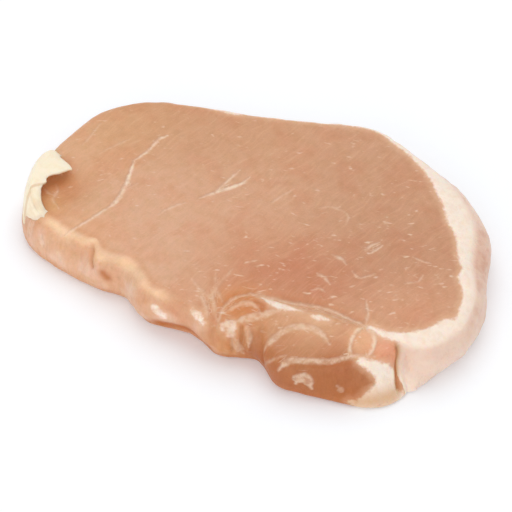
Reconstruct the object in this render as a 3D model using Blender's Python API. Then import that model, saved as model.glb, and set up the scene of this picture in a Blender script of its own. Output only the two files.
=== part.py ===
"""A raw boneless pork loin slice, lying on one of its two cut faces.

The slice is one solid piece of meat: a broad loin muscle with a smaller muscle lobe at the front,
a layer of fat round the right end, and a tongue of fat folded up and over the left end.

Frame: +X runs along the slice, from the folded end to the fat end, +Z is up, and the origin is at
the centre of the bounding box, on the surface that the slice lies on. Shapes are worked out in
millimetres, and meshes are written in metres.
"""

import math
from typing import NamedTuple

import bmesh
import bpy
import numpy as np
from mathutils import Vector
from mathutils.geometry import delaunay_2d_cdt

MM = 0.001

# Driving sizes of the slice
THICKNESS = 15.5
CROWN = 0.5  # how far the middle of the cut face stands above its edge
HALF_LENGTH = 72.0  # of the cut face
HALF_WIDTH = 48.0
FOOT_ROUND = 2.0  # how far the side turns under at the bottom
GIRTH_AT = 0.45  # the share of the height at which a side is widest

# Sizes of the folded fat
FOLD_BOTTOM = 3.0  # height at which it leaves the side
FOLD_SHOULDER = 0.8  # share of the thickness at which its back starts to turn over
FOLD_TURN = 1.6  # how far in the back has come by the time it passes the cut face
FOLD_CREST_AT = 0.35  # where its back is highest, as a share of the lip
FOLD_DROP = 0.45  # how much lower its back is over the edge, as a share of the crest
FOLD_TIP = 0.8  # thickness of the free edge
FOLD_ROOT = 2.2  # how deep it is rooted in the meat

# Mesh sizes
EDGE_STEP = 2.7
TOP_STEP = 2.8
BOTTOM_STEP = 6.0
CLEARANCE = 0.55  # of a step, kept free along a border or a crease
SHOULDER_STEPS = 4
SIDE_STEPS = 4
FOOT_STEPS = 2
FOLD_STEPS = 24  # along the folded fat
FOLD_ACROSS = 3  # between two knots of its section
SPLINE_STEPS = 40  # between two stations, before the outline is spaced evenly

PORK_COLOUR = (0.62, 0.34, 0.22, 1.0)
PORK_ROUGHNESS = 0.42


class Station(NamedTuple):
    """A point on the edge of the cut face, and the side of the slice below it."""

    x: float
    y: float
    shoulder: float  # radius on which the face turns down into the side
    girth: float  # how far the side bulges past the edge
    foot: float  # how far the bottom stands past the edge


STATIONS = (
    # The fat end, round and bulging
    Station(72.0, -13.0, 3.2, 2.8, -0.8),
    Station(71.0, -1.0, 3.6, 3.7, 0.9),
    Station(64.5, 12.0, 4.2, 5.3, 1.5),
    Station(59.0, 26.0, 4.4, 5.4, 1.5),
    Station(47.0, 37.8, 4.2, 4.2, 1.0),
    # The rear edge, cut nearly square
    Station(29.0, 45.8, 2.8, 2.4, 0.5),
    Station(14.5, 49.6, 2.2, 1.6, 0.0),
    Station(-2.0, 44.5, 2.0, 1.4, 0.0),
    Station(-22.0, 38.5, 2.0, 1.2, 0.0),
    Station(-40.0, 34.5, 2.2, 1.2, 0.0),
    Station(-55.0, 29.0, 2.4, 1.4, 0.0),
    Station(-64.5, 19.0, 2.6, 1.8, 0.0),
    # The end that the fat folds over
    Station(-69.0, 6.0, 3.0, 1.6, 0.0),
    Station(-71.6, -8.0, 3.2, 1.2, 0.0),
    Station(-70.1, -19.0, 3.2, 1.6, 0.5),
    Station(-64.0, -27.0, 3.0, 2.6, 2.0),
    # The front edge, with its waist and two shallow bays
    Station(-53.0, -31.0, 2.6, 3.2, 3.0),
    Station(-42.5, -32.6, 2.4, 3.4, 3.2),
    Station(-35.5, -35.2, 2.4, 2.4, 1.0),
    Station(-27.0, -35.0, 2.6, 2.2, 0.5),
    Station(-17.0, -41.3, 2.6, 2.0, 0.0),
    Station(-4.0, -41.6, 2.4, 1.2, -2.4),
    Station(7.0, -44.4, 2.4, 1.2, -0.8),
    Station(18.5, -40.6, 2.6, 1.4, -0.4),
    # The muscle lobe, which runs out into the fat
    Station(29.0, -46.0, 3.4, 1.8, 0.2),
    Station(43.5, -41.0, 3.0, 3.6, 4.2),
    Station(53.5, -34.8, 2.4, 5.2, 8.4),
    Station(59.5, -27.8, 1.8, 3.8, 6.8),
    Station(63.4, -25.7, 2.0, 3.8, 5.4),
    Station(67.5, -23.0, 2.4, 3.0, 0.6),
)


class Cleft(NamedTuple):
    """A narrow upright groove in the side, which fades out towards the bottom."""

    x: float
    y: float
    width: float
    depth: float


CLEFTS = (
    Cleft(-41.5, -32.8, 1.6, 1.2),  # where two bundles of the belly edge part
    Cleft(59.2, -27.9, 2.0, 1.6),  # between the lobe's fat and the fat end
)


class Swelling(NamedTuple):
    """A smooth rise of the cut face, or a hollow where its height is below nought."""

    x: float
    y: float
    reach_x: float
    reach_y: float
    height: float


SWELLINGS = (
    Swelling(-60.0, -14.5, 7.5, 8.0, -2.8),  # the hollow under the folded fat
    Swelling(27.0, -52.0, 17.0, 12.0, -4.2),  # the lobe, which falls away to the front
    Swelling(16.0, -32.5, 7.0, 3.0, 1.1),  # the loose roll of meat along the lobe's seam
    Swelling(-44.0, -34.0, 14.0, 5.0, -0.9),  # the softened front edge
    Swelling(56.0, -14.0, 13.0, 12.0, 0.7),  # the fat corner, which stands a little high
    Swelling(-20.0, 22.0, 26.0, 12.0, -0.5),  # a sag along the rear
)

# The furrow along the seam between the loin muscle and the lobe
SEAM = ((6.5, -34.5), (10.5, -29.0), (17.0, -27.8), (28.0, -25.3), (39.5, -24.6), (47.0, -25.2))
SEAM_STEPS = 3  # between two of its points
FURROW_WIDTH = 1.8
FURROW_DEPTH = 0.9


class Fold(NamedTuple):
    """A section through the folded fat, with heights above the cut face."""

    along: float  # share of the way round the outline
    lip: float  # how far the free edge reaches in over the cut face
    rise: float  # height of the free edge
    crest: float  # height of the fold's back
    proud: float  # how far it stands off the side
    thick: float


FOLDS = (
    Fold(0.520, 4.2, -2.6, -2.0, -0.9, 0.8),
    Fold(0.528, 4.2, 0.3, 0.7, 0.2, 1.3),
    Fold(0.533, 8.8, 0.8, 1.4, 0.7, 1.5),
    Fold(0.538, 11.7, 1.0, 1.7, 0.9, 1.6),
    Fold(0.543, 10.2, 1.2, 1.8, 0.9, 1.6),
    Fold(0.550, 7.8, 1.2, 1.8, 0.7, 1.7),
    Fold(0.557, 6.0, 1.0, 1.7, 0.4, 1.7),
    Fold(0.566, 5.3, 0.9, 1.5, 0.0, 1.7),
    Fold(0.578, 4.6, 0.7, 1.2, -0.1, 1.5),
    Fold(0.589, 3.9, 0.2, 0.6, -0.2, 1.3),
    Fold(0.600, 3.8, -0.9, -0.4, -0.4, 1.0),
    Fold(0.616, 4.4, -2.6, -2.0, -1.0, 0.8),
)


def closed_spline(knots: np.ndarray, per_span: int) -> np.ndarray:
    """A smooth closed curve through the knots, one row for each sampled point."""
    knots = np.asarray(knots, float)
    p0, p1, p2, p3 = (np.roll(knots, shift, axis=0)[:, None, :] for shift in (1, 0, -1, -2))
    t = (np.arange(per_span) / per_span)[None, :, None]
    points = 0.5 * (
        2 * p1
        + (p2 - p0) * t
        + (2 * p0 - 5 * p1 + 4 * p2 - p3) * t**2
        + (3 * p1 - p0 - 3 * p2 + p3) * t**3
    )
    return points.reshape(-1, knots.shape[1])


def open_spline(knots: np.ndarray, per_span: int) -> np.ndarray:
    """A smooth curve from the first knot to the last, one row for each sampled point."""
    knots = np.asarray(knots, float)
    led = np.vstack([2 * knots[0] - knots[1], knots, 2 * knots[-1] - knots[-2]])
    return closed_spline(led, per_span)[per_span : per_span * len(knots) + 1]


def distance_to(points: np.ndarray, starts: np.ndarray, ends: np.ndarray) -> np.ndarray:
    """Each point's distance to the nearest of the straight stretches."""
    px, py = points[:, :1], points[:, 1:2]
    (ax, ay), (bx, by) = starts.T, ends.T
    length = (bx - ax) ** 2 + (by - ay) ** 2
    along = np.clip(((px - ax) * (bx - ax) + (py - ay) * (by - ay)) / length, 0, 1)
    return np.hypot(px - ax - along * (bx - ax), py - ay - along * (by - ay)).min(axis=1)


def outward_normals(points: np.ndarray) -> np.ndarray:
    """Unit vectors that point out of a closed anticlockwise outline."""
    along = np.roll(points, -1, axis=0) - np.roll(points, 1, axis=0)
    out = np.stack([along[:, 1], -along[:, 0]], axis=1)
    return out / np.linalg.norm(out, axis=1, keepdims=True)


def even_outline(step: float) -> np.ndarray:
    """The stations' curve at even spacing: columns x, y, shoulder, girth, foot and notch.

    The notch is how far a cleft cuts in at the edge of the cut face.
    """
    fine = closed_spline(STATIONS, SPLINE_STEPS)
    looped = np.vstack([fine, fine[:1]])
    travelled = np.concatenate([[0.0], np.cumsum(np.hypot(*np.diff(looped[:, :2], axis=0).T))])
    count = round(travelled[-1] / step)
    wanted = np.arange(count) * travelled[-1] / count
    outline = np.stack([np.interp(wanted, travelled, column) for column in looped.T], axis=1)
    notch = np.zeros(count)
    for cleft in CLEFTS:
        away = np.hypot(outline[:, 0] - cleft.x, outline[:, 1] - cleft.y)
        notch += cleft.depth * np.exp(-((away / cleft.width) ** 2))
    return np.column_stack([outline, notch])


def seam_points() -> np.ndarray:
    """Points along the lobe's seam."""
    return open_spline(SEAM, SEAM_STEPS)


def face_height(x: np.ndarray, y: np.ndarray) -> np.ndarray:
    """Height of the cut face at each point."""
    height = THICKNESS + CROWN * (1 - (x / HALF_LENGTH) ** 2 - (y / HALF_WIDTH) ** 2)
    for s in SWELLINGS:
        spread = ((x - s.x) / s.reach_x) ** 2 + ((y - s.y) / s.reach_y) ** 2
        height = height + s.height * np.exp(-0.5 * spread)
    seam = seam_points()
    away = distance_to(np.stack([x, y], axis=1), seam[:-1], seam[1:])
    return height - FURROW_DEPTH * np.exp(-((away / FURROW_WIDTH) ** 2))


def side_out(outline: np.ndarray, share: np.ndarray) -> np.ndarray:
    """How far the side stands past the edge, where share is 0 at the bottom and 1 at the top."""
    girth, foot, notch = outline[:, 3:6].T
    near_foot = foot * (1 - share) * (GIRTH_AT - share) / GIRTH_AT
    near_girth = girth * share * (1 - share) / (GIRTH_AT * (1 - GIRTH_AT))
    return near_foot + near_girth - notch * share


def bezier(start: np.ndarray, corner: np.ndarray, end: np.ndarray, steps: int) -> list[np.ndarray]:
    """Points on the curve from start to end that is drawn towards the corner."""
    return [
        (1 - t) ** 2 * start + 2 * t * (1 - t) * corner + t**2 * end
        for t in np.linspace(0, 1, steps + 1)
    ]


def side_rings(outline: np.ndarray) -> list[np.ndarray]:
    """Rings of points from the inner edge of the shoulder, down the side, to the flat bottom."""
    edge, shoulder, notch = outline[:, :2], outline[:, 2], outline[:, 5]
    out = outward_normals(edge)
    top = face_height(*(edge - out * (shoulder + notch)[:, None]).T)
    flat = np.zeros(len(edge))

    def at(reach: np.ndarray, height: np.ndarray) -> np.ndarray:
        return np.column_stack([edge + out * reach[:, None], height])

    side_top = top - shoulder
    levels = side_top + np.linspace(0, 1, SIDE_STEPS + 1)[:, None] * (FOOT_ROUND - side_top)
    side = [at(side_out(outline, level / top), level) for level in levels]
    foot_corner, foot_end = at(outline[:, 4], flat), at(outline[:, 4] - FOOT_ROUND, flat)
    return [
        *bezier(at(-shoulder - notch, top), at(-notch, top), side[0], SHOULDER_STEPS),
        *side[1:-1],
        *bezier(side[-1], foot_corner, foot_end, FOOT_STEPS),
    ]


def inside(points: np.ndarray, ring: np.ndarray) -> np.ndarray:
    """Which points lie inside the closed ring."""
    px, py = points[:, :1], points[:, 1:2]
    (ax, ay), (bx, by) = ring.T, np.roll(ring, -1, axis=0).T
    crosses = (ay > py) != (by > py)
    rise = np.where(by == ay, 1.0, by - ay)
    return (crosses & (px < (bx - ax) * (py - ay) / rise + ax)).sum(axis=1) % 2 == 1


def filled(ring: np.ndarray, step: float, crease: np.ndarray) -> tuple[np.ndarray, list]:
    """Points and triangles over the inside of a ring, on a staggered grid.

    The ring's own points come first. Edges of the mesh follow the crease, if it has any points.
    """
    low, high = ring.min(axis=0), ring.max(axis=0)
    rows = np.arange(low[1], high[1], step * math.sqrt(3) / 2)
    across = np.arange(low[0], high[0], step)
    shifts = np.arange(len(rows)) % 2 * step / 2
    grid = np.vstack([np.column_stack([across + s, across * 0 + y]) for s, y in zip(shifts, rows)])
    starts = np.vstack([ring, crease[:-1]])
    ends = np.vstack([np.roll(ring, -1, axis=0), crease[1:]])
    grid = grid[inside(grid, ring)]
    grid = grid[distance_to(grid, starts, ends) > CLEARANCE * step]
    points = np.vstack([ring, crease, grid])
    count = len(ring)
    edges = [(i, (i + 1) % count) for i in range(count)]
    edges += [(count + i, count + i + 1) for i in range(len(crease) - 1)]
    found = delaunay_2d_cdt([Vector(p) for p in points], edges, [], 1, 1e-6)
    return np.array([tuple(p) for p in found[0]]), found[2]


def object_from(name: str, bm: bmesh.types.BMesh) -> bpy.types.Object:
    """A smooth-shaded object made of the mesh, which is in millimetres."""
    bmesh.ops.recalc_face_normals(bm, faces=bm.faces)
    bmesh.ops.scale(bm, vec=(MM, MM, MM), verts=bm.verts)
    mesh = bpy.data.meshes.new(name)
    bm.to_mesh(mesh)
    bm.free()
    mesh.shade_smooth()
    made = bpy.data.objects.new(name, mesh)
    bpy.context.scene.collection.objects.link(made)
    return made


def bridge(bm: bmesh.types.BMesh, upper: list, lower: list) -> None:
    """Four-sided faces between two closed rings of vertices."""
    for i, vert in enumerate(upper):
        j = (i + 1) % len(upper)
        bm.faces.new((vert, upper[j], lower[j], lower[i]))


def cap(bm: bmesh.types.BMesh, ring: list, step: float, crease: np.ndarray, height) -> None:
    """Closes a ring of vertices with a sheet of triangles, at the height given for its points."""
    border = np.array([vert.co[:2] for vert in ring])
    points, triangles = filled(border, step, crease)
    inner = points[len(ring) :]
    verts = ring + [bm.verts.new(point) for point in np.column_stack([inner, height(*inner.T)])]
    for triangle in triangles:
        bm.faces.new([verts[i] for i in triangle])


def make_slice_body(outline: np.ndarray) -> bpy.types.Object:
    """The slice without its folded fat."""
    bm = bmesh.new()
    rings = [[bm.verts.new(point) for point in ring] for ring in side_rings(outline)]
    for upper, lower in zip(rings, rings[1:]):
        bridge(bm, upper, lower)
    cap(bm, rings[0], TOP_STEP, seam_points(), face_height)
    cap(bm, rings[-1], BOTTOM_STEP, np.empty((0, 2)), lambda x, y: np.zeros(len(x)))
    return object_from("pork_loin_slice", bm)


def fold_section(place: np.ndarray, out: np.ndarray, fold: Fold) -> np.ndarray:
    """One section through the folded fat, as points in space.

    The first half of the points runs up the outside of the fold and over its back to the free
    edge. The second half runs home along its underside and down through the meat it grows out of.
    """

    def side(height: float) -> float:
        return float(side_out(place[None, :], np.array([height / THICKNESS]))[0])

    widest, shoulder = GIRTH_AT * THICKNESS, FOLD_SHOULDER * THICKNESS
    shoulder_out = side(shoulder) + fold.proud
    back = (
        (side(FOLD_BOTTOM) - 0.5, FOLD_BOTTOM),
        (side(widest) + fold.proud, widest),
        (shoulder_out, shoulder),
        (shoulder_out - FOLD_TURN, THICKNESS + fold.crest - FOLD_DROP * abs(fold.crest)),
        (-FOLD_CREST_AT * fold.lip, THICKNESS + fold.crest),
        (-fold.lip, THICKNESS + fold.rise),
    )
    underside = (
        (-fold.lip, THICKNESS + fold.rise - FOLD_TIP),
        (-0.5 * (fold.lip + FOLD_ROOT), THICKNESS + fold.crest - fold.thick),
        (-FOLD_ROOT, THICKNESS - 2 * FOLD_ROOT),
        (-FOLD_ROOT, widest),
        (-FOLD_ROOT, 0.5 * (widest + FOLD_BOTTOM)),
        (-FOLD_ROOT, FOLD_BOTTOM),
    )
    section = np.vstack([open_spline(knots, FOLD_ACROSS) for knots in (back, underside)])
    return np.column_stack([place[:2] + section[:, :1] * out, section[:, 1]])


def make_fold(outline: np.ndarray) -> bpy.types.Object:
    """The tongue of fat that wraps the left end and curls over the cut face."""
    share = np.arange(len(outline)) / len(outline)
    placed = np.hstack([outline, outward_normals(outline[:, :2])])
    keys = np.array(FOLDS)
    bm = bmesh.new()
    rings = []
    for along in np.linspace(keys[0, 0], keys[-1, 0], FOLD_STEPS + 1):
        fold = Fold(*(np.interp(along, keys[:, 0], column) for column in keys.T))
        place = np.array([np.interp(along, share, column) for column in placed.T])
        section = fold_section(place[:-2], place[-2:] / np.linalg.norm(place[-2:]), fold)
        rings.append([bm.verts.new(point) for point in section])
    for first, second in zip(rings, rings[1:]):
        bridge(bm, first, second)
    for end in (rings[0], rings[-1]):
        for i in range(len(end) // 2 - 1):
            bm.faces.new((end[i], end[i + 1], end[-i - 2], end[-i - 1]))
    fold = object_from("folded_fat_shape", bm)
    fold.hide_render = True
    fold.display_type = "WIRE"
    return fold


def join(body: bpy.types.Object, other: bpy.types.Object) -> None:
    """Makes the other shape part of the body."""
    union = body.modifiers.new("join_" + other.name, "BOOLEAN")
    union.operation = "UNION"
    union.solver = "EXACT"
    union.object = other


def centre(objects: list[bpy.types.Object]) -> None:
    """Moves the objects together, so that the origin is at the middle of the box round them."""
    points = np.array([vert.co for one in objects for vert in one.data.vertices])
    middle = (points.min(axis=0) + points.max(axis=0)) / 2
    for one in objects:
        one.location = (-middle[0], -middle[1], 0.0)


def raw_pork() -> bpy.types.Material:
    """Moist, pale pink raw pork."""
    material = bpy.data.materials.new("raw_pork")
    material.use_nodes = True
    shader = material.node_tree.nodes["Principled BSDF"]
    shader.inputs["Base Color"].default_value = PORK_COLOUR
    shader.inputs["Roughness"].default_value = PORK_ROUGHNESS
    shader.inputs["Metallic"].default_value = 0.0
    return material


def main() -> None:
    for found in list(bpy.data.objects):
        bpy.data.objects.remove(found, do_unlink=True)
    outline = even_outline(EDGE_STEP)
    body = make_slice_body(outline)
    fold = make_fold(outline)
    join(body, fold)
    centre([body, fold])
    body.data.materials.append(raw_pork())


main()
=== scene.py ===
"""Raw boneless pork loin slice: the visual model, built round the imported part.

The slice lies on one of its two cut faces. Shapes are worked out in millimetres, in the sketch of
the cut face that the part was made from, and are then moved into the part's own frame.
"""

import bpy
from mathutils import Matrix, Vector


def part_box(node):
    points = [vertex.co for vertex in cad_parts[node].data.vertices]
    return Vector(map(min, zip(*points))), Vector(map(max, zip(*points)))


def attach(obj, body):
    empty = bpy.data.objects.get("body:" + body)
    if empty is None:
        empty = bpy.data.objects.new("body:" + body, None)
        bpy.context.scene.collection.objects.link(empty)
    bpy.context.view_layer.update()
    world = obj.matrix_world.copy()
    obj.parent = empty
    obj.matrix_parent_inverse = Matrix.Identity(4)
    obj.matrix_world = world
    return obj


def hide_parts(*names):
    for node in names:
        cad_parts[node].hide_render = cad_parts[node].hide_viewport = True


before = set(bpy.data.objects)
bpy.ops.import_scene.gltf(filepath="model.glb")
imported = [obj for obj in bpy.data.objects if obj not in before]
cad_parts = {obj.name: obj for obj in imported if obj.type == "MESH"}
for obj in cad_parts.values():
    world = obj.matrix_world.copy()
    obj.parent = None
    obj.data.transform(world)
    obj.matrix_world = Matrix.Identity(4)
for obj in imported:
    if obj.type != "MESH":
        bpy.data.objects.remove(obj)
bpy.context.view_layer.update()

import logging
import math
from collections.abc import Callable
from dataclasses import dataclass
from enum import Enum
from functools import partial
from typing import NamedTuple

import bpy
import numpy as np
from mathutils import Vector, noise
from mathutils.geometry import delaunay_2d_cdt

LOG = logging.getLogger("pork_loin_slice")
NODE = "pork_loin_slice"
MM = 0.001
FAR = 9.0  # mm, a distance that counts as nowhere near

# Settings that many shader nodes share
SMOOTH = {"interpolation_type": "SMOOTHSTEP"}
COLOUR = {"data_type": "RGBA"}
TIMES = {"operation": "MULTIPLY"}
TIMES_PLUS = {"operation": "MULTIPLY_ADD"}
LESS = {"operation": "SUBTRACT"}

Faces = list[tuple[int, ...]]
Paint = dict[str, np.ndarray]
Link = bpy.types.Node | bpy.types.NodeSocket
Adder = Callable[..., bpy.types.Node]

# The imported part's own sizes
THICKNESS = 15.5
CROWN = 0.5
HALF_LENGTH = 72.0
HALF_WIDTH = 48.0
FOOT_ROUND = 2.0
GIRTH_AT = 0.45
SPLINE_STEPS = 40


class Station(NamedTuple):
    """A point on the edge of the cut face, and the side of the slice below it."""

    x: float
    y: float
    shoulder: float
    girth: float
    foot: float


STATIONS = (
    # The fat end, round and bulging
    Station(72, -13, 3.2, 2.8, -0.8),
    Station(71, -1, 3.6, 3.7, 0.9),
    Station(64.5, 12, 4.2, 5.3, 1.5),
    Station(59, 26, 4.4, 5.4, 1.5),
    Station(47, 37.8, 4.2, 4.2, 1),
    # The rear edge, cut nearly square
    Station(29, 45.8, 2.8, 2.4, 0.5),
    Station(14.5, 49.6, 2.2, 1.6, 0),
    Station(-2, 44.5, 2, 1.4, 0),
    Station(-22, 38.5, 2, 1.2, 0),
    Station(-40, 34.5, 2.2, 1.2, 0),
    Station(-55, 29, 2.4, 1.4, 0),
    Station(-64.5, 19, 2.6, 1.8, 0),
    # The end that the fat folds over
    Station(-69, 6, 3, 1.6, 0),
    Station(-71.6, -8, 3.2, 1.2, 0),
    Station(-70.1, -19, 3.2, 1.6, 0.5),
    Station(-64, -27, 3, 2.6, 2),
    # The front edge, with its waist and two shallow bays
    Station(-53, -31, 2.6, 3.2, 3),
    Station(-42.5, -32.6, 2.4, 3.4, 3.2),
    Station(-35.5, -35.2, 2.4, 2.4, 1),
    Station(-27, -35, 2.6, 2.2, 0.5),
    Station(-17, -41.3, 2.6, 2, 0),
    Station(-4, -41.6, 2.4, 1.2, -2.4),
    Station(7, -44.4, 2.4, 1.2, -0.8),
    Station(18.5, -40.6, 2.6, 1.4, -0.4),
    # The muscle lobe, which runs out into the fat
    Station(29, -46, 3.4, 1.8, 0.2),
    Station(43.5, -41, 3, 3.6, 4.2),
    Station(53.5, -34.8, 2.4, 5.2, 8.4),
    Station(59.5, -27.8, 1.8, 3.8, 6.8),
    Station(63.4, -25.7, 2, 3.8, 5.4),
    Station(67.5, -23, 2.4, 3, 0.6),
)


class Ripple(NamedTuple):
    """Smooth random bumps, the same on every run."""

    height: float
    apart: float
    seed: float  # it moves the pattern

    def at(self, points: np.ndarray) -> np.ndarray:
        """How high they are at each point, in mm, above or below nought."""
        return self.height * np.array([noise.noise(Vector(p)) for p in points / self.apart + self.seed])


class Cleft(NamedTuple):
    """A narrow upright groove in the side, which fades out towards the bottom."""

    x: float
    y: float
    width: float
    depth: float


CLEFTS = (Cleft(-41.5, -32.8, 1.6, 1.2), Cleft(59.2, -27.9, 2.0, 1.6))


class Swelling(NamedTuple):
    """A smooth rise of the cut face, or a hollow where its height is below nought."""

    x: float
    y: float
    reach_x: float
    reach_y: float
    height: float


SWELLINGS = (
    Swelling(-60, -14.5, 7.5, 8, -2.8),
    Swelling(27, -52, 17, 12, -4.2),
    Swelling(16, -32.5, 7, 3, 1.1),
    Swelling(-44, -34, 14, 5, -0.9),
    Swelling(56, -14, 13, 12, 0.7),
    Swelling(-20, 22, 26, 12, -0.5),
)
SEAM = ((6.5, -34.5), (10.5, -29), (17, -27.8), (28, -25.3), (39.5, -24.6), (47, -25.2))
SEAM_STEPS = 3
FURROW_WIDTH = 1.8
FURROW_DEPTH = 0.9

# How far the fat reaches in over the cut face, in mm, at shares of the way round the outline.
# Below nought there is none.
RIM_REACH = (
    (0.000, 3), (0.012, 2.8), (0.027, 3.4), (0.042, 3.9), (0.051, 5), (0.060, 3.6),
    (0.070, 3.6), (0.082, 4.3), (0.096, 5.9), (0.112, 7), (0.128, 7.4), (0.145, 6.2),
    (0.160, 4.4), (0.177, 3.2), (0.201, 1.9), (0.250, 0.8), (0.380, 0.5), (0.420, -1.5),
    (0.470, -14), (0.500, -25), (0.900, -25), (0.936, -15), (0.944, -1), (0.951, 2.6),
    (0.962, 4.8), (0.982, 4.6), (0.993, 3.8), (1.000, 3),
)  # fmt: skip


class StrandKind(Enum):
    """What a band in the meat is made of."""

    VEIN = "a thin white thread of connective tissue, level with the meat"
    SEAM = "the white skin between two muscles, in a shallow furrow"
    FAT = "a band or lump of cream fat"


class Strand(NamedTuple):
    """A band that runs over the surface of the meat.

    Knots are x, y and, where the band leaves the cut face, z. Half widths are in mm and spread
    evenly from the first knot to the last.
    """

    kind: StrandKind
    knots: tuple[tuple[float, ...], ...]
    halves: tuple[float, ...]
    strength: float = 0.8
    through: bool = False  # it shows on the lower cut face too


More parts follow.
